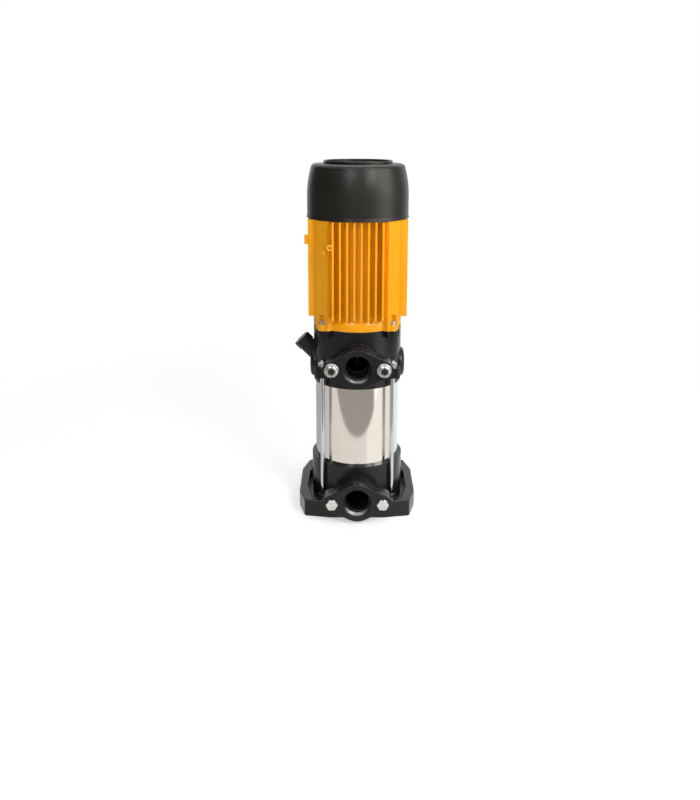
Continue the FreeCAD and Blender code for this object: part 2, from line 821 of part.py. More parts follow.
def add_top_pads(body):
    """Corner pads under the feet of the motor, with the motor's own corner flats."""
    pads = new_sketch(body, "top_pad_outline", "XY_Plane", "head_top - head_top_pad")
    for across, along in corners:
        inner_x = "%d * rib_inner" % across
        inner_y = "%d * rib_inner" % along
        outer_x = "%d * rib_outer" % across
        outer_y = "%d * rib_outer" % along
        root_x = "%d * (rib_inner - 8)" % across
        root_y = "%d * (rib_inner - 8)" % along
        add_outline(pads, [(root_x, root_y), (inner_x, root_y), (outer_x, inner_y),
                           (inner_x, outer_y), (root_x, inner_y)])
    pad(body, "top_pads", pads, "head_top_pad")
    add_screw_ears(body, "head_top - head_top_pad", "head_top_pad")


def tilted_sketch(body, name, along):
    """A sketch square to the priming plug's axis, the given way along it."""
    sketch = body.newObject("Sketcher::SketchObject", name)
    sketch.AttachmentSupport = [(origin_part(body, "XY_Plane"), "")]
    sketch.MapMode = "FlatFace"
    sketch.AttachmentOffset = FreeCAD.Placement(
        FreeCAD.Vector(0, 0, 0), FreeCAD.Rotation(FreeCAD.Vector(0, 1, 0), -num("priming_lean")))
    sketch.setExpression("AttachmentOffset.Base.x",
                         ex("-priming_x - (%s) * sin(priming_lean * 1 deg)" % along))
    sketch.setExpression("AttachmentOffset.Base.z",
                         ex("stack_top + priming_rise + (%s) * cos(priming_lean * 1 deg)" % along))
    return sketch


def cut_head_inside(body):
    """One turned cut: sleeve slot, chamber, seat of the shaft seal and dry well; then the neck."""
    inside = new_sketch(body, "inside_profile", "XZ_Plane")
    seal_root = "spigot_r - seal_depth"
    seat_top = "roof_under_z + seal_seat_thick"
    add_outline(inside, [("0", "skirt_z - cut_margin"), ("sleeve_r", "skirt_z - cut_margin"),
                         ("sleeve_r", "sleeve_top_z"), (seal_root, "sleeve_top_z"),
                         (seal_root, "sleeve_top_z - seal_width"),
                         ("spigot_r", "sleeve_top_z - seal_width"), ("spigot_r", "stack_top"),
                         ("chamber_r", "stack_top"), ("chamber_r", "roof_under_z"),
                         ("seal_seat_r", "roof_under_z"), ("seal_seat_r", seat_top),
                         ("shaft_r + shaft_hole_gap", seat_top),
                         ("shaft_r + shaft_hole_gap", "roof_top_z"), ("dry_well_r", "roof_top_z"),
                         ("dry_well_r", "head_top + cut_margin"), ("0", "head_top + cut_margin")])
    groove(body, "inside", inside)
    thread = tilted_sketch(body, "priming_thread_outline", "priming_neck_length")
    add_circle(thread, "0", "0", "priming_thread_r")
    pocket(body, "priming_thread", thread, "priming_thread_length + plug_tip_gap")
    bore = tilted_sketch(body, "priming_bore_outline", "priming_neck_length - priming_thread_length")
    add_circle(bore, "0", "0", "priming_bore_r")
    pocket(body, "priming_bore", bore,
           "priming_neck_length - priming_thread_length + priming_bore_length")


def cut_head_holes(body):
    rods = new_sketch(body, "rod_hole_outline", "XY_Plane", "lug_top")
    for across, along in corners:
        add_circle(rods, "%d * rod_half" % across, "%d * rod_half" % along,
                   "rod_r + rod_hole_clear")
    pocket(body, "rod_holes", rods, "lug_height")
    recesses = new_sketch(body, "nut_recess_outline", "XY_Plane", "lug_top + nut_recess_height")
    for across, along in corners:
        add_circle(recesses, "%d * rod_half" % across, "%d * rod_half" % along, "nut_recess_r")
    pocket(body, "nut_recesses", recesses, "nut_recess_height")
    screws = new_sketch(body, "motor_tap_outline", "XY_Plane", "head_top")
    for across, along in corners:
        add_circle(screws, "%d * motor_screw_half" % across, "%d * motor_screw_half" % along,
                   "motor_screw_r")
    pocket(body, "motor_taps", screws, "head_top_pad")


# Ports
def make_port_parts(name, axis, bolt_seat):
    gasket = new_body(name + "_gasket")
    sheet_outline = new_sketch(gasket, "gasket_outline", "XZ_Plane", "port_face")
    add_flange_outline(sheet_outline, axis)
    add_circle(sheet_outline, "0", axis, "port_bore_r + gasket_bore_gap")
    for side in (-1, 1):
        add_circle(sheet_outline, "%d * flange_bolt_half" % side, axis,
                   "flange_bolt_r + flange_hole_clear")
    pad(gasket, "gasket", sheet_outline, "gasket_thick")

    flange = new_body(name + "_flange")
    outline = new_sketch(flange, "flange_outline", "XZ_Plane", "gasket_face")
    add_flange_outline(outline, axis)
    pad(flange, "plate", outline, "flange_thick")
    finish_edges(flange, "Fillet", "front_round", "flange_round",
                 lambda edge: flat_at(edge, -num("flange_face"), "y"))
    bore = new_sketch(flange, "bore_outline", "XZ_Plane", "flange_face")
    add_circle(bore, "0", axis, "port_thread_r")
    pocket(flange, "bore", bore, "flange_thick")
    finish_edges(flange, "Chamfer", "mouth", "port_mouth_chamfer",
                 lambda edge: flat_at(edge, -num("flange_face"), "y")
                 and abs(edge.BoundBox.XLength - 2 * num("port_thread_r")) < 0.01)
    holes = new_sketch(flange, "hole_outline", "XZ_Plane", "flange_face")
    for side in (-1, 1):
        add_circle(holes, "%d * flange_bolt_half" % side, axis,
                   "flange_bolt_r + flange_hole_clear")
    pocket(flange, "holes", holes, "flange_thick")

    bolts = new_body(name + "_bolts", several=True)
    shanks = new_sketch(bolts, "shank_outline", "XZ_Plane", "port_face - flange_bolt_reach")
    heads = new_sketch(bolts, "head_outline", "XZ_Plane", bolt_seat)
    for side in (-1, 1):
        centre = "%d * flange_bolt_half" % side
        add_circle(shanks, centre, axis, "flange_bolt_r")
        add_hexagon(heads, centre, axis, "flange_bolt_flats")
    pad(bolts, "shanks", shanks, "%s - port_face + flange_bolt_reach" % bolt_seat)
    pad(bolts, "heads", heads, "flange_bolt_head")


def make_discharge_washers():
    washers = new_body("discharge_washers", several=True)
    outline = new_sketch(washers, "washer_outline", "XZ_Plane", "flange_face")
    for side in (-1, 1):
        centre = "%d * flange_bolt_half" % side
        add_circle(outline, centre, "discharge_axis", "flange_washer_r")
        add_circle(outline, centre, "discharge_axis", "flange_bolt_r + flange_hole_clear / 2")
    pad(washers, "washers", outline, "flange_washer_thick")


# Tie rods
def corner_group(label, low, height, shape):
    """Four like pieces on the tie rod square, standing from low and height tall."""
    body = new_body(label, several=True)
    outline = new_sketch(body, "outline", "XY_Plane", low)
    for across, along in corners:
        shape(outline, "%d * rod_half" % across, "%d * rod_half" % along)
    pad(body, "pieces", outline, height)
    return body


def make_tie_rods():
    def rod(outline, x, y):
        add_circle(outline, x, y, "rod_r")

    def washer(outline, x, y):
        add_circle(outline, x, y, "rod_washer_r")
        add_circle(outline, x, y, "rod_r + rod_hole_clear / 2")

    def nut(outline, x, y):
        add_hexagon(outline, x, y, "rod_nut_flats")
        add_circle(outline, x, y, "rod_r")

    corner_group("tie_rods", "rod_seat", "rod_top - rod_seat", rod)
    corner_group("tie_rod_washers", "lug_top", "rod_washer_thick", washer)
    corner_group("tie_rod_nuts", "washer_top", "rod_nut_height", nut)


# Plugs
def make_plug(label, thread_r, thread_length, flats, height, seal_thick):
    """A hex plug along its own +Z, its seat face at z = 0 under the seal."""
    body = new_body(label)
    shank = new_sketch(body, "shank_outline", "XY_Plane", "-%s" % thread_length)
    add_circle(shank, "0", "0", "%s - thread_fit" % thread_r)
    pad(body, "shank", shank, "%s + %s" % (thread_length, seal_thick))
    head = new_sketch(body, "head_outline", "XY_Plane", seal_thick)
    add_hexagon(head, "0", "0", flats, point_up=False)
    pad(body, "head", head, height)
    finish_edges(body, "Chamfer", "head_chamfer", "1",
                 lambda edge: flat_at(edge, num("%s + %s" % (seal_thick, height))))
    return body


def make_seal_ring(label, inner, outer, thick):
    return turned(label, [ring_profile(inner, outer, "0", thick)])


def make_plugs():
    lean = FreeCAD.Rotation(FreeCAD.Vector(0, 1, 0), -num("priming_lean"))
    along = lean.multVec(FreeCAD.Vector(0, 0, num("priming_neck_length")))
    seat = FreeCAD.Vector(-num("priming_x"), 0, num("stack_top + priming_rise")) + along
    plug = make_plug("priming_plug", "priming_thread_r", "priming_thread_length",
                     "priming_hex_flats", "priming_hex_height", "priming_seal_thick")
    ring = make_seal_ring("priming_seal", "priming_thread_r + screw_clear", "priming_seal_r",
                          "priming_seal_thick")
    for piece in (plug, ring):
        piece.Placement = FreeCAD.Placement(seat, lean)
    back = FreeCAD.Rotation(FreeCAD.Vector(1, 0, 0), -90)
    seat = FreeCAD.Vector(0, num("drain_face"), num("drain_axis"))
    plug = make_plug("drain_plug", "drain_thread_r", "drain_thread_length",
                     "drain_hex_flats", "drain_hex_height", "drain_seal_thick")
    ring = make_seal_ring("drain_seal", "drain_thread_r + screw_clear", "drain_seal_r",
                          "drain_seal_thick")
    for piece in (plug, ring):
        piece.Placement = FreeCAD.Placement(seat, back)


# Rotating parts
def make_shaft():
    nut_z = "(impeller_z - shaft_nut_height)"
    tip_z = "(%s - shaft_tip)" % nut_z
    upper_end = "(upper_bearing_z + bearing_width)"
    return turned("rotor_shaft", [[
        ("0", tip_z), ("shaft_nut_r", tip_z), ("shaft_nut_r", "impeller_z"),
        ("shaft_r", "impeller_z"), ("shaft_r", "head_top"), ("bearing_bore_r", "head_top"),
        ("bearing_bore_r", "bearing_z + bearing_width"), ("core_seat_r", "bearing_z + bearing_width"),
        ("core_seat_r", "upper_bearing_z - bearing_width"),
        ("bearing_bore_r", "upper_bearing_z - bearing_width"), ("bearing_bore_r", upper_end),
        ("fan_seat_r", upper_end), ("fan_seat_r", "fan_top + clip_thick + shaft_end"),
        ("0", "fan_top + clip_thick + shaft_end")]])


def make_shaft_parts():
    nut = new_body("impeller_nut")
    outline = new_sketch(nut, "nut_outline", "XY_Plane", "impeller_z - shaft_nut_height")
    add_hexagon(outline, "0", "0", "shaft_nut_flats")
    add_circle(outline, "0", "0", "shaft_nut_r")
    pad(nut, "nut", outline, "shaft_nut_height")
    turned("impeller_spacer", [ring_profile("shaft_r", "hub_r", "hub_stack_top", "bellows_z")])
    turned("seal_seat", [ring_profile("seal_seat_bore", "seal_seat_r", "seal_seat_z",
                                      "seal_seat_z + seal_seat_thick")])
    turned("seal_ring", [ring_profile("shaft_r", "seal_ring_r", "seal_ring_z",
                                      "seal_seat_z - rotor_gap")])
    waist = "(shaft_r + 0.6 * (seal_bellows_r - shaft_r))"
    turned("seal_bellows", [[
        ("shaft_r", "bellows_z"), ("seal_bellows_r", "bellows_z"),
        ("seal_bellows_r", "bellows_z + 0.25 * seal_bellows_length"),
        (waist, "bellows_z + 0.35 * seal_bellows_length"),
        ("seal_bellows_r", "bellows_z + 0.5 * seal_bellows_length"),
        (waist, "bellows_z + 0.65 * seal_bellows_length"),
        ("seal_bellows_r", "bellows_z + 0.75 * seal_bellows_length"),
        ("seal_bellows_r", "seal_ring_z"), ("shaft_r", "seal_ring_z")]])


def make_bearing(name, low):
    """A shielded bearing: the outer ring carries both shields, the inner ring turns."""
    inner_edge = "(bearing_bore_r + bearing_ring)"
    outer_edge = "(bearing_outer_r - bearing_ring)"
    high = "(%s + bearing_width)" % low
    turned(name + "_bearing_inner", [ring_profile("bearing_bore_r", inner_edge, low, high)])
    turned(name + "_bearing_outer", [[
        (inner_edge + " + rotor_gap", low), ("bearing_outer_r", low), ("bearing_outer_r", high),
        (inner_edge + " + rotor_gap", high), (inner_edge + " + rotor_gap", high + " - bearing_shield"),
        (outer_edge, high + " - bearing_shield"), (outer_edge, low + " + bearing_shield"),
        (inner_edge + " + rotor_gap", low + " + bearing_shield")]])


def make_electric_parts():
    turned("stator_core", [ring_profile("core_bore_r", "housing_bore_r", "core_z", "core_top")])
    turned("stator_windings", [
        ring_profile("winding_inner_r", "winding_outer_r", "core_z - winding_height", "core_z"),
        ring_profile("winding_inner_r", "winding_outer_r", "core_top", "core_top + winding_height")])
    rotor_r = "(core_bore_r - air_gap)"
    turned("rotor_core", [[
        ("core_seat_r", "core_z"), ("end_ring_r - end_ring_wall", "core_z"),
        ("end_ring_r - end_ring_wall", "core_z - end_ring_height"),
        ("end_ring_r", "core_z - end_ring_height"),
        ("end_ring_r", "core_z"), (rotor_r, "core_z"), (rotor_r, "core_top"),
        ("end_ring_r", "core_top"), ("end_ring_r", "core_top + end_ring_height"),
        ("end_ring_r - end_ring_wall", "core_top + end_ring_height"),
        ("end_ring_r - end_ring_wall", "core_top"),
        ("core_seat_r", "core_top")]])


# Motor housing
def make_housing():
    body = new_body("motor_housing")
    spigot_r = "(dry_well_r - spigot_fit)"
    shell = new_sketch(body, "shell_profile", "XZ_Plane")
    add_outline(shell, [
        ("0", "head_top - housing_spigot"), (spigot_r, "head_top - housing_spigot"),
        (spigot_r, "head_top"), ("housing_collar_r", "head_top"),
        ("housing_collar_r", "collar_bend_z"), ("housing_outer_r", "collar_top"),
        ("housing_outer_r", "housing_top"), ("0", "housing_top")],
        {4: ("housing_collar_r - housing_collar_round", "collar_bend_z", "housing_collar_round")})
    revolve(body, "shell", shell)
    add_corner_ribs(body)
    add_fins(body)
    add_box_pad(body)
    add_cast_lugs(body)
    cut_housing_inside(body)
    cut_screw_niches(body)
    return body


def cut_housing_inside(body):
    """One turned cut: shaft hole, bearing seat in its hub, and the bore of the stator."""
    hub_r = "(bearing_outer_r + bearing_hub_wall)"
    shaft_hole = "(bearing_bore_r + shaft_hole_gap)"
    floor = "head_top + housing_floor"
    inside = new_sketch(body, "inside_profile", "XZ_Plane")
    add_outline(inside, [
        ("0", "head_top - housing_spigot - cut_margin"),
        (shaft_hole, "head_top - housing_spigot - cut_margin"), (shaft_hole, "bearing_z"),
        ("bearing_outer_r", "bearing_z"), ("bearing_outer_r", "bearing_z + bearing_width"),
        (hub_r, "bearing_z + bearing_width"), (hub_r, floor), ("housing_bore_r", floor),
        ("housing_bore_r", "housing_top + cut_margin"), ("0", "housing_top + cut_margin")])
    groove(body, "inside", inside)


def add_corner_ribs(body):
    """Four solid corner columns with a flat across each corner."""
    rib = new_sketch(body, "rib_outline", "XY_Plane", "head_top")
    add_outline(rib, [("rib_inner / 2", "rib_inner / 2"), ("rib_inner", "rib_inner / 2"),
                      ("rib_outer", "rib_inner"), ("rib_inner", "rib_outer"),
                      ("rib_inner / 2", "rib_inner")])
    column = pad(body, "rib", rib, "housing_height")
    polar(body, "ribs", [column], 4)
    add_screw_ears(body, "head_top", "motor_screw_seat")


def add_fins(body):
    """Parallel cooling fins on each of the four sides, thinner towards their tips."""
    fins = new_sketch(body, "fin_outline", "XY_Plane", "collar_top")
    middle = "(housing_bore_r + housing_wall / 2)"
    for step in range(count("fins_each_side")):
        for side in (-1, 1):
            centre = "%d * (%d + 0.5) * fin_pitch" % (side, step)
            root = "-sqrt(%s^2 - (%s)^2)" % (middle, centre)
            add_outline(fins, [(centre + " - fin_root / 2", root),
                               (centre + " - fin_tip / 2", "-fin_reach"),
                               (centre + " + fin_tip / 2", "-fin_reach"),
                               (centre + " + fin_root / 2", root)])
    bank = pad(body, "fin_bank", fins, "housing_top - collar_top")
    polar(body, "fin_banks", [bank], 4)


def add_box_pad(body):
    """The flat seat of the terminal box, standing out of the rear fins."""
    seat = new_sketch(body, "box_pad_outline", "XZ_Plane", "-box_pad_face")
    add_box(seat, "-box_pad_half", "box_pad_half", "box_z", "box_z + box_height")
    pad(body, "box_pad", seat, "box_pad_face - housing_bore_r / 2")


def cut_screw_niches(body):
    niches = new_sketch(body, "niche_outline", "XY_Plane", "screw_seat_z + screw_niche_height")
    holes = new_sketch(body, "screw_hole_outline", "XY_Plane", "screw_seat_z")
    for across, along in corners:
        x = "%d * motor_screw_half" % across
        y = "%d * motor_screw_half" % along
        add_circle(niches, x, y, "screw_niche_r")
        add_circle(holes, x, y, "motor_screw_r + screw_clear")
    pocket(body, "niches", niches, "screw_niche_height")
    pocket(body, "screw_holes", holes, "motor_screw_seat")
    taps = new_sketch(body, "shield_tap_outline", "XY_Plane", "housing_top")
    for across, along in corners:
        add_circle(taps, "%d * shield_screw_ring * sqrt(0.5)" % across,
                   "%d * shield_screw_ring * sqrt(0.5)" % along, "shield_screw_r")
    pocket(body, "shield_taps", taps, "shield_screw_reach - shield_thick + tap_margin")


def add_cast_lugs(body):
    """An eyelet and a boss at the front left column, and a lug on the left side."""
    eyelet = new_sketch(body, "eyelet_outline", "XZ_Plane", "housing_outer_r - lug_root")
    add_circle(eyelet, "-eyelet_x", "head_top + eyelet_rise", "eyelet_r")
    pad(body, "eyelet", eyelet, "eyelet_face - housing_outer_r + lug_root")
    hole = new_sketch(body, "eyelet_hole_outline", "XZ_Plane", "eyelet_face")
    add_circle(hole, "-eyelet_x", "head_top + eyelet_rise", "eyelet_hole_r")
    pocket(body, "eyelet_hole", hole, "eyelet_hole_depth")
    lug = new_sketch(body, "side_lug_outline", "XZ_Plane", "side_lug_y")
    add_box(lug, "-side_lug_reach", "-housing_outer_r + cut_margin",
            "head_top + side_lug_rise - side_lug_half", "head_top + side_lug_rise + side_lug_half")
    pad(body, "side_lug", lug, "side_lug_thick")
    boss = new_sketch(body, "corner_boss_outline", "XZ_Plane", "housing_outer_r - lug_root")
    add_circle(boss, "-corner_boss_x", "head_top + corner_boss_rise", "corner_boss_r")
    pad(body, "corner_boss", boss, "corner_boss_face - housing_outer_r + lug_root")


def make_motor_screws():
    body = new_body("motor_screws", several=True)
    shanks = new_sketch(body, "shank_outline", "XY_Plane", "head_top - head_top_pad + motor_tap_floor")
    heads = new_sketch(body, "head_outline", "XY_Plane", "screw_seat_z")
    sockets = new_sketch(body, "socket_outline", "XY_Plane", "screw_seat_z + motor_screw_head")
    for across, along in corners:
        x = "%d * motor_screw_half" % across
        y = "%d * motor_screw_half" % along
        add_circle(shanks, x, y, "motor_screw_r")
        add_circle(heads, x, y, "motor_screw_head_r")
        add_hexagon(sockets, x, y, "motor_screw_socket_flats")
    pad(body, "shanks", shanks, "screw_seat_z - head_top + head_top_pad - motor_tap_floor")
    pad(body, "heads", heads, "motor_screw_head")
    pocket(body, "sockets", sockets, "motor_screw_head / 2")


# Upper end shield, fan and cover
cover_screw_angles = (20, 90, 160)


def make_end_shield():
    hub_r = "(bearing_outer_r + bearing_hub_wall)"
    hole_r = "(bearing_bore_r + shield_hole_gap)"
    body = new_body("upper_end_shield")
    profile = new_sketch(body, "shield_profile", "XZ_Plane")
    add_outline(profile, [
        (hole_r, "shield_top"), (hole_r, "upper_bearing_z + bearing_width"),
        ("bearing_outer_r", "upper_bearing_z + bearing_width"), ("bearing_outer_r", "upper_bearing_z"),
        (hub_r, "upper_bearing_z"), (hub_r, "housing_top - shield_spigot"),
        ("housing_bore_r", "housing_top - shield_spigot"), ("housing_bore_r", "housing_top"),
        ("shield_r", "housing_top"), ("shield_r", "shield_top"),
        (hub_r, "shield_top"), (hub_r, "shield_top + shield_boss"),
        (hole_r, "shield_top + shield_boss")])
    revolve(body, "disc", profile)
    for angle in cover_screw_angles:
        add_shield_tab(body, angle)
    holes = new_sketch(body, "screw_hole_outline", "XY_Plane", "shield_top")
    for across, along in corners:
        spot = ("%d * shield_screw_ring * sqrt(0.5)" % across,
                "%d * shield_screw_ring * sqrt(0.5)" % along)
        add_circle(holes, spot[0], spot[1], "shield_screw_r")
    pocket(body, "screw_holes", holes, "shield_thick")
    for angle in cover_screw_angles:
        tap = radial_sketch(body, "tap_%d_outline" % angle, angle, "cover_inner_r + tap_margin")
        add_circle(tap, "0", "cover_screw_z", "cover_screw_r")
        pocket(body, "tap_%d" % angle, tap, "cover_screw_reach + tap_margin")
    return body


def add_shield_tab(body, angle):
    """A tab that reaches out to the inside of the fan cover at the given angle."""
    tab = new_sketch(body, "tab_%d_outline" % angle, "XY_Plane", "housing_top + cover_lift")
    cos = "cos(%d deg)" % angle
    sin = "sin(%d deg)" % angle
    near = "(shield_r - shield_tab_root)"
    far = "sqrt((cover_waist_r - cover_wall)^2 - shield_tab_half^2)"
    points = []
    for reach, across in ((near, "-shield_tab_half"), (far, "-shield_tab_half"),
                          (far, "shield_tab_half"), (near, "shield_tab_half")):
        points.append(("%s * %s - (%s) * %s" % (reach, cos, across, sin),
                       "%s * %s + (%s) * %s" % (reach, sin, across, cos)))
    add_outline(tab, points, {1: ("0", "0", "cover_waist_r - cover_wall")})
    pad(body, "tab_%d" % angle, tab, "shield_tab_height")


def make_shield_screws():
    body = new_body("shield_screws", several=True)
    shanks = new_sketch(body, "shank_outline", "XY_Plane", "shield_top - shield_screw_reach")
    heads = new_sketch(body, "head_outline", "XY_Plane", "shield_top")
    for across, along in corners:
        spot = ("%d * shield_screw_ring * sqrt(0.5)" % across,
                "%d * shield_screw_ring * sqrt(0.5)" % along)
        add_circle(shanks, spot[0], spot[1], "shield_screw_r")
        add_circle(heads, spot[0], spot[1], "shield_screw_head_r")
    pad(body, "shanks", shanks, "shield_screw_reach")
    pad(body, "heads", heads, "shield_screw_head")
    return body


def make_fan():
    body = new_body("cooling_fan")
    profile = new_sketch(body, "hub_profile", "XZ_Plane")
    add_outline(profile, [("fan_seat_r", "fan_z"), ("fan_disc_r", "fan_z"),
                          ("fan_disc_r", "fan_z + fan_disc"), ("fan_hub_r", "fan_z + fan_disc"),
                          ("fan_hub_r", "fan_top"), ("fan_seat_r", "fan_top")])
    revolve(body, "hub", profile)
    blade = new_sketch(body, "blade_outline", "XZ_Plane", "-fan_blade_thick / 2")
    add_outline(blade, [("fan_seat_r + fan_blade_root", "fan_z"), ("fan_r - fan_blade_cut", "fan_z"),
                        ("fan_r", "fan_z + fan_blade_cut"),
                        ("fan_r", "fan_z + fan_blade_height"),
                        ("fan_hub_r + fan_blade_cut", "fan_z + fan_blade_height"),
                        ("fan_seat_r + fan_blade_root", "fan_z + fan_blade_height - fan_blade_cut")])
    first = pad(body, "blade", blade, "fan_blade_thick")
    polar(body, "blades", [first], count("fan_blade_count"))
    turned("fan_clip", [ring_profile("fan_seat_r", "fan_seat_r + clip_reach", "fan_top",
                                     "fan_top + clip_thick")])
    return body


def make_fan_cover():
    body = new_body("fan_cover")
    shell = new_sketch(body, "shell_profile", "XZ_Plane")
    flare_in = "(cover_flare_r - cover_wall)"
    flare_rise = "(cover_shoulder_z - cover_bend_z)"
    inner_x = "(cover_inner_r - %s + sqrt(%s^2 - %s^2))" % (flare_in, flare_in, flare_rise)
    shoulder_in = "(%s - cover_shoulder_r + cover_wall)" % inner_x
    points = [("cover_r", "cover_z"), ("cover_waist_r", "cover_waist_z"),
              ("cover_waist_r", "cover_bend_z"), ("cover_shoulder_x", "cover_shoulder_z"),
              ("cover_shoulder_x - cover_shoulder_r", "cover_top_z"),
              ("intake_r + intake_wall", "cover_top_z"), ("intake_r + intake_wall", "intake_top"),
              ("intake_r", "intake_top"), ("intake_r", "cover_top_z - cover_wall"),
              (shoulder_in, "cover_top_z - cover_wall"), (inner_x, "cover_shoulder_z"),
              ("cover_inner_r", "cover_bend_z"), ("cover_inner_r", "cover_z")]
    arcs = {2: ("cover_waist_r - cover_flare_r", "cover_bend_z", "cover_flare_r"),
            3: ("cover_shoulder_x - cover_shoulder_r", "cover_shoulder_z", "cover_shoulder_r"),
            9: (shoulder_in, "cover_shoulder_z", "cover_shoulder_r - cover_wall"),
            10: ("cover_inner_r - cover_flare_r + cover_wall", "cover_bend_z",
                 "cover_flare_r - cover_wall")}
    add_outline(shell, points, arcs)
    revolve(body, "shell", shell)
    add_grille(body)
    for angle in cover_screw_angles:
        cut_cover_hole(body, angle)
    finish_edges(body, "Fillet", "intake_round", "intake_wall / 3",
                 lambda edge: flat_at(edge, num("intake_top")))
    return body


def add_grille(body):
    """Spokes from the intake ring to a centre disc, with two guard rings across them."""
    spoke = new_sketch(body, "spoke_outline", "XY_Plane", "cover_top_z - cover_wall")
    add_box(spoke, "0", "intake_r + intake_wall / 2", "-grille_spoke_width / 2", "grille_spoke_width / 2")
    first = pad(body, "spoke", spoke, "grille_spoke_depth")
    polar(body, "spokes", [first], count("grille_spoke_count"))
    rings = new_sketch(body, "guard_profile", "XZ_Plane")
    low = "cover_top_z - cover_wall"
    high = "cover_top_z - cover_wall + grille_spoke_depth"
    add_outline(rings, [("0", low), ("grille_hub_r", low), ("grille_hub_r", high), ("0", high)])
    for ring in ("grille_ring_a", "grille_ring_b"):
        add_outline(rings, ring_profile(ring, ring + " + grille_ring_width", low,
                                        high + " - grille_ring_sink"))
    revolve(body, "guard", rings)


def radial_sketch(body, name, angle, offset):
    """A sketch square to a radius of the shaft axis, its centre on that radius."""
    sketch = body.newObject("Sketcher::SketchObject", name)
    sketch.AttachmentSupport = [(origin_part(body, "YZ_Plane"), "")]
    sketch.MapMode = "FlatFace"
    turn = FreeCAD.Rotation(FreeCAD.Vector(0, 1, 0), angle)
    sketch.AttachmentOffset = FreeCAD.Placement(FreeCAD.Vector(0, 0, 0), turn)
    sketch.setExpression("AttachmentOffset.Base.x", ex("(%s) * sin(%d deg)" % (offset, angle)))
    sketch.setExpression("AttachmentOffset.Base.z", ex("(%s) * cos(%d deg)" % (offset, angle)))
    return sketch


def cut_cover_hole(body, angle):
    hole = radial_sketch(body, "screw_hole_%d_outline" % angle, angle, "cover_r + cut_margin")
    add_circle(hole, "0", "cover_screw_z", "cover_screw_r + screw_clear")
    pocket(body, "screw_hole_%d" % angle, hole, "cover_wall + 2 * cut_margin")


def make_cover_screws():
    body = new_body("cover_screws", several=True)
    for angle in cover_screw_angles:
        shank = radial_sketch(body, "shank_%d_outline" % angle, angle,
                              "cover_inner_r - cover_screw_reach")
        add_circle(shank, "0", "cover_screw_z", "cover_screw_r")
        pad(body, "shank_%d" % angle, shank, "cover_wall + cover_screw_reach")
        head = radial_sketch(body, "head_%d_outline" % angle, angle, "cover_waist_r")
        add_circle(head, "0", "cover_screw_z", "cover_screw_head_r")
        pad(body, "head_%d" % angle, head, "cover_screw_head")
    return body


# Terminal box
def add_round_box(body, name, back, depth, half_x, half_z, grow=True):
    outline = new_sketch(body, name + "_outline", "XZ_Plane", back)
    add_box(outline, "-(%s)" % half_x, half_x, "box_mid_z - (%s)" % half_z, "box_mid_z + (%s)" % half_z)
    return pad(body, name, outline, depth)


def lid_screw_spots():
    return [("%d * (box_width / 2 - lid_screw_inset)" % across,
             "box_mid_z + %d * (box_height / 2 - lid_screw_inset)" % up) for across, up in corners]


def y_edges(edge):
    box = edge.BoundBox
    return box.XLength < 0.01 and box.ZLength < 0.01


def make_terminal_box():
    """A frame of four walls with corner bosses, on a flat plate against the motor's pad."""
    half_x = "box_width / 2"
    half_z = "box_height / 2"
    plate = new_body("terminal_plate")
    add_round_box(plate, "plate", "-box_pad_face - box_plate", "box_plate", half_x, half_z)
    finish_edges(plate, "Fillet", "corner_round", "box_round", y_edges)
    body = new_body("terminal_box")
    add_round_box(body, "block", "-box_face", "box_depth - box_plate", half_x, half_z)
    finish_edges(body, "Fillet", "corner_round", "box_round", y_edges)
    cavity = new_sketch(body, "cavity_outline", "XZ_Plane", "-box_face")
    add_box(cavity, "-box_width / 2 + box_wall", "box_width / 2 - box_wall",
            "box_mid_z - box_height / 2 + box_wall", "box_mid_z + box_height / 2 - box_wall")
    pocket(body, "cavity", cavity, "box_depth", forward=True)
    bosses = new_sketch(body, "boss_outline", "XZ_Plane", "-box_face")
    for x, z in lid_screw_spots():
        add_circle(bosses, x, z, "lid_boss_r")
    pad(body, "bosses", bosses, "box_depth - box_plate")
    taps = new_sketch(body, "tap_outline", "XZ_Plane", "-box_face")
    for x, z in lid_screw_spots():
        add_circle(taps, x, z, "lid_screw_r")
    pocket(body, "taps", taps, "lid_screw_reach", forward=True)
    entry = new_sketch(body, "gland_hole_outline", "XY_Plane", "box_z + box_wall + tap_margin")
    add_circle(entry, "0", "box_pad_face + box_depth / 2", "gland_r")
    pocket(body, "gland_hole", entry, "box_wall + 2 * tap_margin")
    return body


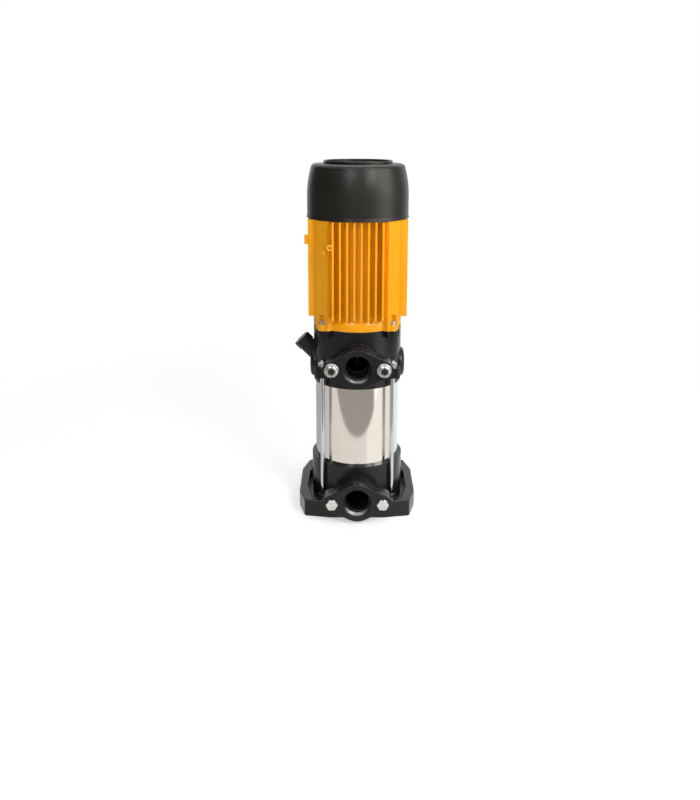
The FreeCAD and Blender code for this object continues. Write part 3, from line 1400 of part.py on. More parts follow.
def make_terminal_lid():
    seal = new_body("terminal_seal")
    edge = new_sketch(seal, "seal_outline", "XZ_Plane", "-box_seal_face")
    for inset in ("box_seal_inset", "(box_seal_inset + box_seal_width)"):
        add_box(edge, "-box_width / 2 + " + inset, "box_width / 2 - " + inset,
                "box_mid_z - box_height / 2 + " + inset, "box_mid_z + box_height / 2 - " + inset)
    for x, z in lid_screw_spots():
        add_circle(edge, x, z, "lid_screw_r + screw_clear")
    pad(seal, "seal", edge, "box_seal_thick")
    lid = new_body("terminal_lid")
    add_round_box(lid, "plate", "-lid_face", "lid_depth", "box_width / 2", "box_height / 2")
    finish_edges(lid, "Fillet", "corner_round", "box_round", y_edges)
    finish_edges(lid, "Fillet", "face_round", "lid_round",
                 lambda edge: flat_at(edge, num("lid_face"), "y"))
    holes = new_sketch(lid, "hole_outline", "XZ_Plane", "-lid_face")
    for x, z in lid_screw_spots():
        add_circle(holes, x, z, "lid_screw_r + screw_clear")
    pocket(lid, "holes", holes, "lid_depth", forward=True)
    screws = new_body("lid_screws", several=True)
    shanks = new_sketch(screws, "shank_outline", "XZ_Plane", "-lid_face")
    heads = new_sketch(screws, "head_outline", "XZ_Plane", "-lid_face - lid_screw_head")
    for x, z in lid_screw_spots():
        add_circle(shanks, x, z, "lid_screw_r")
        add_circle(heads, x, z, "lid_screw_head_r")
    pad(screws, "shanks", shanks, "lid_depth + box_seal_thick + lid_screw_reach - tap_margin")
    pad(screws, "heads", heads, "lid_screw_head")


def make_terminal_block():
    block = new_body("terminal_block")
    add_round_box(block, "block", "-block_face", "block_depth", "block_width / 2", "block_height / 2")
    studs = new_body("terminal_studs", several=True)
    pins = new_sketch(studs, "stud_outline", "XZ_Plane", "-block_face - stud_length")
    nuts = new_sketch(studs, "nut_outline", "XZ_Plane", "-block_face - stud_nut_height")
    for column in (-1, 0, 1):
        for row in (-0.5, 0.5):
            x = "%d * stud_pitch_x" % column
            z = "box_mid_z + %s * stud_pitch_z" % row
            add_circle(pins, x, z, "stud_r")
            add_hexagon(nuts, x, z, "stud_nut_flats")
    pad(studs, "studs", pins, "stud_length")
    pad(studs, "nuts", nuts, "stud_nut_height")


def make_gland():
    body = new_body("cable_gland")
    y = "box_pad_face + box_depth / 2"
    neck = new_sketch(body, "neck_outline", "XY_Plane", "box_z")
    add_circle(neck, "0", y, "gland_r")
    pad(body, "neck", neck, "gland_wall_reach")
    hexagon = new_sketch(body, "hex_outline", "XY_Plane", "box_z - gland_hex")
    add_hexagon(hexagon, "0", y, "gland_flats")
    pad(body, "hex", hexagon, "gland_hex")
    cap = new_sketch(body, "cap_outline", "XY_Plane", "box_z - gland_hex - gland_cap")
    add_circle(cap, "0", y, "gland_cap_r")
    pad(body, "cap", cap, "gland_cap")
    bore = new_sketch(body, "bore_outline", "XY_Plane", "box_z + gland_wall_reach")
    add_circle(bore, "0", y, "gland_bore_r")
    pocket(body, "bore", bore, "gland_wall_reach + gland_hex + gland_cap")
    finish_edges(body, "Chamfer", "cap_chamfer", "gland_chamfer",
                 lambda edge: flat_at(edge, num("box_z - gland_hex - gland_cap"))
                 and edge.BoundBox.XLength > num("gland_cap_r"))
    return body


def export_parts():
    for item in doc.Objects:
        if "Invalid" in item.State or "Error" in item.State:
            raise RuntimeError("%s is not sound" % item.Label)
    bodies = [item for item in doc.Objects if item.TypeId == "PartDesign::Body"]
    for body in bodies:
        if body.Shape.isNull() or not body.Shape.isValid():
            raise RuntimeError("%s has no valid shape" % body.Label)
    for body in bodies:
        body.Shape.exportStep("parts/%s.step" % body.Label)
    print("wrote", len(bodies), "sub-parts")


fill_sheet()
make_base()
make_sleeve_parts()
for stage in range(1, count("stage_count") + 1):
    make_stage_casing(stage)
    make_impeller(stage)
make_head()
make_port_parts("suction", "suction_axis", "flange_face")
make_port_parts("discharge", "discharge_axis", "(flange_face + flange_washer_thick)")
make_discharge_washers()
make_tie_rods()
make_plugs()
make_shaft()
make_shaft_parts()
make_bearing("lower", "bearing_z")
make_bearing("upper", "upper_bearing_z")
make_electric_parts()
make_housing()
make_motor_screws()
make_end_shield()
make_shield_screws()
make_fan()
make_fan_cover()
make_cover_screws()
make_terminal_box()
make_terminal_lid()
make_terminal_block()
make_gland()
doc.recompute()
export_parts()
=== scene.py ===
import bpy
import bmesh
import json
import math
from mathutils import Matrix, Vector


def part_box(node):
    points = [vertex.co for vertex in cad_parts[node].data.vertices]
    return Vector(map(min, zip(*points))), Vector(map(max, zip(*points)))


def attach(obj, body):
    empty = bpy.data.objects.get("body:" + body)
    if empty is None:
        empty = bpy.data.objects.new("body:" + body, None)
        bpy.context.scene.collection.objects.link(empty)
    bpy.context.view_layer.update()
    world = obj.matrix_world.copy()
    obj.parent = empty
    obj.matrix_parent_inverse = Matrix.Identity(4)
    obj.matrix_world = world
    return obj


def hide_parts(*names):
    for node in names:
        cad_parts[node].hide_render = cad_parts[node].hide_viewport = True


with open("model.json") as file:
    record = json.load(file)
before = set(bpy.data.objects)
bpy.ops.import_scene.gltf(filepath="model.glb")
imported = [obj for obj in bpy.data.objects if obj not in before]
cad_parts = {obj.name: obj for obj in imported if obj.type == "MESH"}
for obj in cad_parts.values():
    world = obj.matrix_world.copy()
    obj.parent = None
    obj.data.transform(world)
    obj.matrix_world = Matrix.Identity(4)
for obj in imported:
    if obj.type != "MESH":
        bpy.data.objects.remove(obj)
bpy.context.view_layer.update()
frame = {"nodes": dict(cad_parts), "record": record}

# Vertical multistage pump: finned orange motor on a black cast pump with a polished sleeve.
# Metres, Z up the shaft, both ports face -Y.

print("stage: frame loaded,", len(frame["nodes"]), "CAD nodes")


# ---- small helpers for node trees

def addNode(tree, kind, **values):
    node = tree.nodes.new(kind)
    for name, value in values.items():
        setattr(node, name, value)
    return node


def setInputs(node, **values):
    for name, value in values.items():
        node.inputs[name.replace("_", " ")].default_value = value
    return node


def join(tree, fromSocket, toSocket):
    tree.links.new(fromSocket, toSocket)


def feed(tree, value, socket):
    # the value is a number, a colour or the output of another node
    if isinstance(value, (int, float)):
        socket.default_value = value
    elif isinstance(value, (tuple, list)):
        socket.default_value = (*value, 1.0)
    else:
        join(tree, value, socket)


def startGroup(name, kind, inputs, outputs):
    group = bpy.data.node_groups.new(name, kind)
    for way, sockets in (("INPUT", inputs), ("OUTPUT", outputs)):
        for label, sort in sockets.items():
            group.interface.new_socket(name=label, in_out=way, socket_type="NodeSocket" + sort)
    return group, addNode(group, "NodeGroupInput"), addNode(group, "NodeGroupOutput")


def mathNode(tree, operation, first, second=None, clamp=False):
    node = addNode(tree, "ShaderNodeMath", operation=operation, use_clamp=clamp)
    feed(tree, first, node.inputs[0])
    if second is not None:
        feed(tree, second, node.inputs[1])
    return node.outputs[0]


def spread(tree, value, low, high, toLow=0.0, toHigh=1.0):
    node = addNode(tree, "ShaderNodeMapRange", clamp=True)
    join(tree, value, node.inputs["Value"])
    setInputs(node, From_Min=low, From_Max=high, To_Min=toLow, To_Max=toHigh)
    return node.outputs["Result"]


def noise(tree, coordinates, scale, detail, roughness):
    node = addNode(tree, "ShaderNodeTexNoise")
    join(tree, coordinates, node.inputs["Vector"])
    feed(tree, scale, node.inputs["Scale"])
    setInputs(node, Detail=detail, Roughness=roughness)
    return node.outputs["Fac"]


def ownPlace(tree):
    return addNode(tree, "ShaderNodeTexCoord").outputs["Object"]


def faceNormal(tree):
    return addNode(tree, "ShaderNodeNewGeometry").outputs["Normal"]


def axesOf(tree, vector):
    parts = addNode(tree, "ShaderNodeSeparateXYZ")
    join(tree, vector, parts.inputs[0])
    return parts.outputs


# ---- effects that several materials share
# a noise is its scale, detail and roughness, and a grain is the last two of these

edgeEffect = {"samples": 5, "bend": (0.995, 0.86), "patchNoise": (90.0, 4.0, 0.6),
              "patches": (0.35, 0.62)}


def buildEdgeGroup(look):
    # rounded normal at the edges, and a mask of the edges that rub bare and take a painted
    # highlight
    group, source, target = startGroup(
        "edgeRounding", "ShaderNodeTree",
        {"Radius": "Float", "Amount": "Float"}, {"Normal": "Vector", "Wear And Glint": "Float"})
    rounded = addNode(group, "ShaderNodeBevel", samples=look["samples"])
    join(group, source.outputs["Radius"], rounded.inputs["Radius"])
    same = addNode(group, "ShaderNodeVectorMath", operation="DOT_PRODUCT")
    join(group, rounded.outputs["Normal"], same.inputs[0])
    join(group, faceNormal(group), same.inputs[1])
    edge = spread(group, same.outputs["Value"], *look["bend"])
    patches = noise(group, ownPlace(group), *look["patchNoise"])
    mask = mathNode(group, "MULTIPLY", edge, spread(group, patches, *look["patches"]))
    mask = mathNode(group, "MULTIPLY", mask, source.outputs["Amount"], clamp=True)
    join(group, rounded.outputs["Normal"], target.inputs["Normal"])
    join(group, mask, target.inputs["Wear And Glint"])
    return group


castEffect = {"lumpGrain": (3.0, 0.55), "pitDepth": (0.05, 0.45),
              "toneNoise": (14.0, 2.0, 0.5)}


def buildCastGroup(look):
    # sand-cast skin under gloss paint: soft lumps, small pits and slow tone change
    group, source, target = startGroup(
        "castSkin", "ShaderNodeTree",
        {"Lump Scale": "Float", "Pit Scale": "Float", "Pits": "Float"},
        {"Height": "Float", "Tone": "Float"})
    where = ownPlace(group)
    lumps = noise(group, where, source.outputs["Lump Scale"], *look["lumpGrain"])
    cells = addNode(group, "ShaderNodeTexVoronoi", feature="SMOOTH_F1")
    join(group, where, cells.inputs["Vector"])
    join(group, source.outputs["Pit Scale"], cells.inputs["Scale"])
    pits = spread(group, cells.outputs["Distance"], *look["pitDepth"])
    pits = mathNode(group, "MULTIPLY", pits, source.outputs["Pits"])
    join(group, mathNode(group, "ADD", lumps, pits), target.inputs["Height"])
    join(group, noise(group, where, *look["toneNoise"]), target.inputs["Tone"])
    return group


paintEffect = {"peelGrain": (2.0, 0.45), "fineNoise": (1900.0, 2.0, 0.6),
               "toneNoise": (11.0, 2.0, 0.5)}


def buildPaintGroup(look):
    # sprayed enamel: orange peel over the faint grain of the die casting
    group, source, target = startGroup(
        "sprayedPaint", "ShaderNodeTree",
        {"Peel Scale": "Float", "Grain": "Float"}, {"Height": "Float", "Tone": "Float"})
    where = ownPlace(group)
    peel = noise(group, where, source.outputs["Peel Scale"], *look["peelGrain"])
    fine = noise(group, where, *look["fineNoise"])
    fine = mathNode(group, "MULTIPLY", fine, source.outputs["Grain"])
    join(group, mathNode(group, "ADD", peel, fine), target.inputs["Height"])
    join(group, noise(group, where, *look["toneNoise"]), target.inputs["Tone"])
    return group


lineEffect = {"lineNoise": (1.0, 4.0, 0.65), "cloudGrain": (3.0, 0.55)}


def buildLineGroup(look):
    # fine lines of turning, drawing or polishing that run round or along the piece
    group, source, target = startGroup(
        "polishLines", "ShaderNodeTree",
        {"Stretch": "Vector", "Cloud Scale": "Float"}, {"Lines": "Float", "Cloud": "Float"})
    where = ownPlace(group)
    stretched = addNode(group, "ShaderNodeVectorMath", operation="MULTIPLY")
    join(group, where, stretched.inputs[0])
    join(group, source.outputs["Stretch"], stretched.inputs[1])
    lines = noise(group, stretched.outputs["Vector"], *look["lineNoise"])
    cloud = noise(group, where, source.outputs["Cloud Scale"], *look["cloudGrain"])
    join(group, lines, target.inputs["Lines"])
    join(group, cloud, target.inputs["Cloud"])
    return group


dustEffect = {"upward": (0.55, 1.0), "patchNoise": (70.0, 5.0, 0.65), "patches": (0.38, 0.75)}


def buildDustGroup(look):
    # thin dust on the upward faces, in soft patches
    group, source, target = startGroup(
        "restingDust", "ShaderNodeTree", {"Amount": "Float"}, {"Mask": "Float"})
    up = spread(group, axesOf(group, faceNormal(group))["Z"], *look["upward"])
    patches = noise(group, ownPlace(group), *look["patchNoise"])
    mask = mathNode(group, "MULTIPLY", up, spread(group, patches, *look["patches"]))
    mask = mathNode(group, "MULTIPLY", mask, source.outputs["Amount"], clamp=True)
    join(group, mask, target.inputs["Mask"])
    return group


effects = {
    "edge": buildEdgeGroup(edgeEffect),
    "cast": buildCastGroup(castEffect),
    "paint": buildPaintGroup(paintEffect),
    "line": buildLineGroup(lineEffect),
    "dust": buildDustGroup(dustEffect),
}


def useEffect(tree, name, **values):
    node = addNode(tree, "ShaderNodeGroup", node_tree=effects[name])
    return setInputs(node, **values)


def mixColour(tree, mask, under, over):
    # sockets 6, 7 and 2 are the colours of a mix node
    node = addNode(tree, "ShaderNodeMix", data_type="RGBA")
    join(tree, mask, node.inputs["Factor"])
    feed(tree, under, node.inputs[6])
    feed(tree, over, node.inputs[7])
    return node.outputs[2]


def startMaterial(name, **constants):
    material = bpy.data.materials.new(name)
    material.use_nodes = True
    tree = material.node_tree
    shader = tree.nodes["Principled BSDF"]
    setInputs(shader, **constants)
    return material, tree, shader


def bumpInto(tree, shader, height, look, under):
    bump = addNode(tree, "ShaderNodeBump")
    setInputs(bump, Strength=look["bumpStrength"], Distance=look["bump"])
    join(tree, height, bump.inputs["Height"])
    join(tree, under, bump.inputs["Normal"])
    join(tree, bump.outputs["Normal"], shader.inputs["Normal"])


# ---- painted finishes

toneSpan = (0.3, 0.7)  # the stretch of a slow noise over which a tone changes
dustRough = 0.6  # what full dust adds to the roughness


def paintedFinish(name, look):
    material, tree, shader = startMaterial(
        name, Coat_Weight=look["coat"], Coat_Roughness=look["coatRoughness"], IOR=look["ior"])
    skin = useEffect(tree, look["skin"], **look["skinValues"])
    edge = useEffect(tree, "edge", Radius=look["edgeRadius"], Amount=look["wearAndGlint"])
    dusted = useEffect(tree, "dust", Amount=look["dust"]).outputs["Mask"]
    slow = skin.outputs["Tone"]
    tone = mixColour(tree, spread(tree, slow, *toneSpan), look["deep"], look["light"])
    # edges take a lighter colour: partly real wear, partly a painted highlight
    wornAndGlint = mixColour(tree, edge.outputs["Wear And Glint"], tone, look["wornAndGlint"])
    join(tree, mixColour(tree, dusted, wornAndGlint, look["dustColour"]), shader.inputs["Base Color"])
    rough = spread(tree, slow, *toneSpan, *look["rough"])
    extra = mathNode(tree, "MULTIPLY", dusted, dustRough)
    join(tree, mathNode(tree, "ADD", rough, extra, clamp=True), shader.inputs["Roughness"])
    bumpInto(tree, shader, skin.outputs["Height"], look, edge.outputs["Normal"])
    return material


castBlackLook = {
    "skin": "cast", "skinValues": {"Lump_Scale": 210.0, "Pit_Scale": 560.0, "Pits": 0.3},
    "deep": (0.0085, 0.0085, 0.0092), "light": (0.0135, 0.0135, 0.0145),
    "wornAndGlint": (0.075, 0.075, 0.075),
    "rough": (0.15, 0.25), "coat": 0.0, "coatRoughness": 0.10, "ior": 1.38,
    "edgeRadius": 0.0011, "wearAndGlint": 0.45, "dust": 0.05, "dustColour": (0.16, 0.15, 0.14),
    "bump": 0.0005, "bumpStrength": 0.42,
}
motorPaintLook = {
    "skin": "paint", "skinValues": {"Peel_Scale": 420.0, "Grain": 0.25},
    "deep": (0.80, 0.326, 0.003), "light": (0.86, 0.360, 0.006), "wornAndGlint": (0.96, 0.60, 0.16),
    "rough": (0.14, 0.20), "coat": 0.0, "coatRoughness": 0.2, "ior": 1.40,
    "edgeRadius": 0.0007, "wearAndGlint": 0.35, "dust": 0.08, "dustColour": (0.62, 0.47, 0.25),
    "bump": 0.0003, "bumpStrength": 0.22,
}
coverPlasticLook = {
    "skin": "cast", "skinValues": {"Lump_Scale": 900.0, "Pit_Scale": 1500.0, "Pits": 0.5},
    "deep": (0.011, 0.0103, 0.0080), "light": (0.015, 0.0140, 0.0110), "wornAndGlint": (0.05, 0.05, 0.047),
    "rough": (0.31, 0.38), "coat": 0.0, "coatRoughness": 0.3, "ior": 1.39,
    "edgeRadius": 0.0006, "wearAndGlint": 0.3, "dust": 0.16, "dustColour": (0.15, 0.145, 0.13),
    "bump": 0.00016, "bumpStrength": 0.45,
}
boxPlasticLook = dict(coverPlasticLook, deep=(0.019, 0.019, 0.020), light=(0.025, 0.025, 0.026))
fanPlasticLook = dict(coverPlasticLook, rough=(0.36, 0.46), dust=0.05)
plugBlackLook = dict(castBlackLook, rough=(0.34, 0.44), coat=0.1, bumpStrength=0.18)
rubberLook = dict(coverPlasticLook, deep=(0.010, 0.010, 0.010), light=(0.016, 0.016, 0.016),
                  rough=(0.62, 0.78), wearAndGlint=0.15)
gasketRedLook = dict(rubberLook, deep=(0.030, 0.009, 0.009), light=(0.042, 0.013, 0.012))
carbonLook = dict(coverPlasticLook, deep=(0.018, 0.018, 0.019), light=(0.03, 0.03, 0.032))
ceramicLook = dict(coverPlasticLook, deep=(0.72, 0.69, 0.62), light=(0.8, 0.77, 0.7),
                   wornAndGlint=(0.85, 0.83, 0.78), rough=(0.2, 0.3), dust=0.02)


# ---- bare metal finishes

def metalFinish(name, look):
    material, tree, shader = startMaterial(name, Metallic=1.0)
    marks = useEffect(tree, "line", Stretch=look["stretch"], Cloud_Scale=look["cloudScale"])
    edge = useEffect(tree, "edge", Radius=look["edgeRadius"], Amount=look["wearAndGlint"])
    lines, cloud = marks.outputs["Lines"], marks.outputs["Cloud"]
    tone = mixColour(tree, spread(tree, cloud, *toneSpan), look["deep"], look["light"])
    # edges take a lighter colour: partly real wear, partly a painted highlight
    bright = mixColour(tree, edge.outputs["Wear And Glint"], tone, look["wornAndGlint"])
    join(tree, bright, shader.inputs["Base Color"])
    rough = mathNode(tree, "MULTIPLY", lines, look["lineRough"])
    rough = mathNode(tree, "ADD", rough, spread(tree, cloud, *toneSpan, *look["rough"]))
    join(tree, rough, shader.inputs["Roughness"])
    bumpInto(tree, shader, lines, look, edge.outputs["Normal"])
    return material


sleevePolishLook = {
    "stretch": (14.0, 14.0, 1100.0), "cloudScale": 12.0,
    "deep": (0.84, 0.80, 0.75), "light": (0.89, 0.85, 0.80), "wornAndGlint": (0.92, 0.90, 0.87),
    "rough": (0.05, 0.08), "lineRough": 0.03, "edgeRadius": 0.0003, "wearAndGlint": 0.2,
    "bump": 0.00002, "bumpStrength": 0.1,
}
zincSteelLook = {
    "stretch": (260.0, 260.0, 260.0), "cloudScale": 160.0,
    "deep": (0.74, 0.75, 0.73), "light": (0.87, 0.88, 0.86), "wornAndGlint": (0.93, 0.93, 0.92),
    "rough": (0.17, 0.28), "lineRough": 0.08, "edgeRadius": 0.0004, "wearAndGlint": 0.5,
    "bump": 0.00006, "bumpStrength": 0.3,
}
stainlessLook = dict(sleevePolishLook, rough=(0.16, 0.24), deep=(0.52, 0.50, 0.47),
                     light=(0.62, 0.60, 0.57))
aluminiumLook = dict(zincSteelLook, deep=(0.48, 0.48, 0.47), light=(0.6, 0.6, 0.59),
                     rough=(0.36, 0.5), bump=0.0002)
rodPolishLook = dict(sleevePolishLook, stretch=(300.0, 300.0, 20.0), deep=(0.64, 0.66, 0.71),
                     light=(0.73, 0.75, 0.79), rough=(0.05, 0.08))
bearingLook = dict(zincSteelLook, stretch=(60.0, 60.0, 1500.0), rough=(0.14, 0.22))
laminationLook = dict(zincSteelLook, stretch=(8.0, 8.0, 2000.0), deep=(0.20, 0.20, 0.21),
                      light=(0.3, 0.3, 0.31), rough=(0.38, 0.5), bumpStrength=0.8)
copperLook = dict(zincSteelLook, stretch=(30.0, 30.0, 1200.0), deep=(0.60, 0.24, 0.11),
                  light=(0.75, 0.34, 0.18), wornAndGlint=(0.85, 0.45, 0.28), bumpStrength=0.8, bump=0.0002)
brassLook = dict(zincSteelLook, deep=(0.62, 0.45, 0.18), light=(0.75, 0.56, 0.25),
                 wornAndGlint=(0.85, 0.68, 0.36))

finishes = {
    "casting_black": paintedFinish("castBlack", castBlackLook),
    "motor_paint": paintedFinish("motorPaint", motorPaintLook),
    "cover_plastic": paintedFinish("coverPlastic", coverPlasticLook),
    "box_plastic": paintedFinish("boxPlastic", boxPlasticLook),
    "fan_plastic": paintedFinish("fanPlastic", fanPlasticLook),
    "plug_black": paintedFinish("plugBlack", plugBlackLook),
    "rubber": paintedFinish("sealRubber", rubberLook),
    "carbon": paintedFinish("sealCarbon", carbonLook),
    "ceramic": paintedFinish("sealCeramic", ceramicLook),
    "stainless": metalFinish("stainlessSheet", stainlessLook),
    "zinc_steel": metalFinish("zincSteel", zincSteelLook),
    "aluminium": metalFinish("castAluminium", aluminiumLook),
    "bearing_steel": metalFinish("bearingSteel", bearingLook),
    "laminations": metalFinish("motorLaminations", laminationLook),
    "copper": metalFinish("windingCopper", copperLook),
    "brass": metalFinish("plugBrass", brassLook),
}
sleevePolish = metalFinish("sleevePolish", sleevePolishLook)
rodPolish = metalFinish("rodPolish", rodPolishLook)
gasketRed = paintedFinish("gasketRed", gasketRedLook)

slotOf = {part["node"]: part["material_slot"] for part in frame["record"]["subparts"]}
for nodeName, nodeObject in frame["nodes"].items():
    nodeObject.data.materials.clear()
    nodeObject.data.materials.append(finishes[slotOf[nodeName]])
ownFinish = {"outer_sleeve": sleevePolish,
             "suction_gasket": gasketRed, "discharge_gasket": gasketRed}
for nodeName, finish in ownFinish.items():
    frame["nodes"][nodeName].data.materials[0] = finish
print("stage: materials on the CAD nodes")


# ---- meshes made in the script

weldDistance = 1e-7
softAngle = 32.0  # edges that bend less are smoothed on turned pieces
sharpAngle = 20.0  # the same on hexagons


def plainObject(name, bm, material, smoothAngle=softAngle):
    bmesh.ops.remove_doubles(bm, verts=bm.verts, dist=weldDistance)
    bmesh.ops.recalc_face_normals(bm, faces=bm.faces)
    limit = math.radians(smoothAngle)
    for face in bm.faces:
        face.smooth = True
    for edge in bm.edges:
        edge.smooth = len(edge.link_faces) == 2 and edge.calc_face_angle() < limit
    mesh = bpy.data.meshes.new(name)
    bm.to_mesh(mesh)
    bm.free()
    mesh.materials.append(material)
    thing = bpy.data.objects.new(name, mesh)
    bpy.context.scene.collection.objects.link(thing)
    return thing


def ringOf(bm, radii, heights):
    # one closed ring of vertices, a radius and a height for each step round Z
    count = len(radii)
    ring = []
    for step in range(count):
        angle = 2 * math.pi * step / count
        spot = (radii[step] * math.cos(angle), radii[step] * math.sin(angle), heights[step])
        ring.append(bm.verts.new(spot))
    return ring


def turnedRings(bm, profile, count):
    # the rings of a turned shape, from its profile of radii and heights
    return [ringOf(bm, [radius] * count, [height] * count) for radius, height in profile]


def skinRings(bm, rings, closed):
    # walls from ring to ring, and then either back to the first ring or a lid on each end
    pairs = list(zip(rings, rings[1:]))
    if closed:
        pairs.append((rings[-1], rings[0]))
    for low, high in pairs:
        count = len(low)
        for step in range(count):
            after = (step + 1) % count
            bm.faces.new((low[step], low[after], high[after], high[step]))
    if not closed:
        bm.faces.new(rings[-1])
        bm.faces.new(list(reversed(rings[0])))


def buildTube(outer, thick, depth, steps):
    # a thin tube from zero to the depth, which may lie below zero
    bm = bmesh.new()
    inner = outer - thick
    profile = [(outer, 0.0), (outer, depth), (inner, depth), (inner, 0.0)]
    skinRings(bm, turnedRings(bm, profile, steps), closed=True)
    return bm


def hexWall(flats, count):
    # distance from the axis to the wall of a hexagon, step by step
    wall = []
    for step in range(count):
        angle = 2 * math.pi * step / count
        fromFlat = (angle + math.pi / 6) % (math.pi / 3) - math.pi / 6
        wall.append(flats / 2 / math.cos(fromFlat))
    return wall


def starWall(star, count, shrink=0.0):
    # distance from the axis to the wall of the six-lobed socket
    middle = (star["outer"] + star["inner"]) / 2 - shrink
    swing = (star["outer"] - star["inner"]) / 2
    return [middle + swing * math.cos(star["lobes"] * 2 * math.pi * step / count)
            for step in range(count)]


def hexRings(bm, look, top):
    # walls of a hexagon from zero to the top, with the cone-cut corners of a real nut
    count = look["steps"]
    wall = hexWall(look["flats"], count)
    slope = math.tan(math.radians(look["coneAngle"]))
    face = look["flats"] / 2 * look["faceShare"]
    drop = [max(0.0, (reach - face) * slope) for reach in wall]
    flat = [0.0] * count
    if look["bothEnds"]:
        rings = [ringOf(bm, [face] * count, flat), ringOf(bm, wall, drop)]
    else:
        rings = [ringOf(bm, wall, flat)]
    rings.append(ringOf(bm, wall, [top - fall for fall in drop]))
    rings.append(ringOf(bm, [face] * count, [top] * count))
    return rings


def buildBolt(look):
    # one hexagon bolt, its head up Z from the seat at zero and its shank below
    bm = bmesh.new()
    count, head = look["steps"], look["head"]
    rings = turnedRings(bm, [(look["shank"], -look["reach"]), (look["shank"], 0.0)], count)
    rings += hexRings(bm, look, head)
    dish = [(look["flats"] / 2 * share, head - depth) for share, depth in look["dish"]]
    rings += turnedRings(bm, dish, count)
    if "star" in look:
        wall = starWall(look["star"], count)
        for depth in (0.0, look["star"]["depth"]):
            rings.append(ringOf(bm, wall, [head - depth] * count))
    skinRings(bm, rings, closed=False)
    return bm


def buildNut(look):
    bm = bmesh.new()
    bore, top = look["bore"], look["height"]
    cut = bore * look["mouthCut"]
    outer = hexRings(bm, look, top)
    mouths = [(bore + cut, top), (bore, top - cut), (bore, cut), (bore + cut, 0.0)]
    skinRings(bm, outer + turnedRings(bm, mouths, look["steps"]), closed=True)
    return bm


def buildWasher(look):
    bm = bmesh.new()
    bore, outer, thick, soft = (look[part] for part in ("bore", "outer", "thick", "soft"))
    profile = [(bore, 0.0), (outer - soft, 0.0), (outer, soft), (outer, thick - soft),
               (outer - soft, thick), (bore + soft, thick), (bore, thick - soft)]
    skinRings(bm, turnedRings(bm, profile, look["steps"]), closed=True)
    return bm


# ---- geometry node trees for what repeats

def copiesOn(tree, points, mesh):
    placed = addNode(tree, "GeometryNodeInstanceOnPoints")
    join(tree, points, placed.inputs["Points"])
    join(tree, mesh, placed.inputs["Instance"])
    return realMesh(tree, placed.outputs["Instances"])


def realMesh(tree, geometry):
    real = addNode(tree, "GeometryNodeRealizeInstances")
    join(tree, geometry, real.inputs["Geometry"])
    return real.outputs["Geometry"]


def endTree(tree, geometry, source, target):
    finish = addNode(tree, "GeometryNodeSetMaterial")
    join(tree, geometry, finish.inputs["Geometry"])
    join(tree, source.outputs["Finish"], finish.inputs["Material"])
    join(tree, finish.outputs["Geometry"], target.inputs["Geometry"])
    return tree


def buildCornerTree():
    # the object's own mesh, set out in rows and columns about the origin
    tree, source, target = startGroup("fastenersOnCorners", "GeometryNodeTree", {
        "Geometry": "Geometry", "Spacing X": "Float", "Spacing Y": "Float",
        "Count X": "Int", "Count Y": "Int", "Finish": "Material"}, {"Geometry": "Geometry"})
    lines = {}
    for axis in "XY":
        spacing, count = (source.outputs[label + axis] for label in ("Spacing ", "Count "))
        span = mathNode(tree, "MULTIPLY", mathNode(tree, "SUBTRACT", count, 1.0), spacing)
        line = addNode(tree, "GeometryNodeMeshLine", mode="OFFSET")
        join(tree, count, line.inputs["Count"])
        for label, value in (("Start Location", mathNode(tree, "MULTIPLY", span, -0.5)),
                             ("Offset", spacing)):
            vector = addNode(tree, "ShaderNodeCombineXYZ")
            join(tree, value, vector.inputs[axis])
            join(tree, vector.outputs[0], line.inputs[label])
        lines[axis] = line.outputs["Mesh"]
    corners = copiesOn(tree, lines["Y"], lines["X"])
    return endTree(tree, copiesOn(tree, corners, source.outputs["Geometry"]), source, target)


ridgeCorners = 4


def buildThreadTree():
    # the object's own mesh, and a ridge that winds up Z: a diamond swept along one spiral
    tree, source, target = startGroup("screwThread", "GeometryNodeTree", {
        "Geometry": "Geometry", "Radius": "Float", "Pitch": "Float", "Turns": "Float",
        "Ridge": "Float", "Steps": "Int", "Finish": "Material"}, {"Geometry": "Geometry"})
    spiral = addNode(tree, "GeometryNodeCurveSpiral")
    for label, spiralLabel in (("Steps", "Resolution"), ("Turns", "Rotations"),
                               ("Radius", "Start Radius"), ("Radius", "End Radius")):
        join(tree, source.outputs[label], spiral.inputs[spiralLabel])
    height = mathNode(tree, "MULTIPLY", source.outputs["Pitch"], source.outputs["Turns"])
    join(tree, height, spiral.inputs["Height"])
    section = addNode(tree, "GeometryNodeCurvePrimitiveCircle", mode="RADIUS")
    setInputs(section, Resolution=ridgeCorners)
    join(tree, source.outputs["Ridge"], section.inputs["Radius"])
    ridge = addNode(tree, "GeometryNodeCurveToMesh")
    setInputs(ridge, Fill_Caps=True)
    join(tree, spiral.outputs["Curve"], ridge.inputs["Curve"])
    join(tree, section.outputs["Curve"], ridge.inputs["Profile Curve"])
    both = addNode(tree, "GeometryNodeJoinGeometry")
    join(tree, source.outputs["Geometry"], both.inputs["Geometry"])
    join(tree, ridge.outputs["Mesh"], both.inputs["Geometry"])
    return endTree(tree, realMesh(tree, both.outputs["Geometry"]), source, target)


cornerTree = buildCornerTree()
threadTree = buildThreadTree()


def bakeTree(thing, tree, values):
    # run a node tree on the object and keep its result as the object's plain mesh
    modifier = thing.modifiers.new("nodes", "NODES")
    modifier.node_group = tree
    for item in tree.interface.items_tree:
        if item.in_out == "INPUT" and item.name in values:
            modifier[item.identifier] = values[item.name]
    bpy.context.view_layer.update()
    evaluated = thing.evaluated_get(bpy.context.evaluated_depsgraph_get())
    baked = bpy.data.meshes.new_from_object(evaluated)
    thing.modifiers.remove(modifier)
    old = thing.data
    thing.data = baked
    bpy.data.meshes.remove(old)


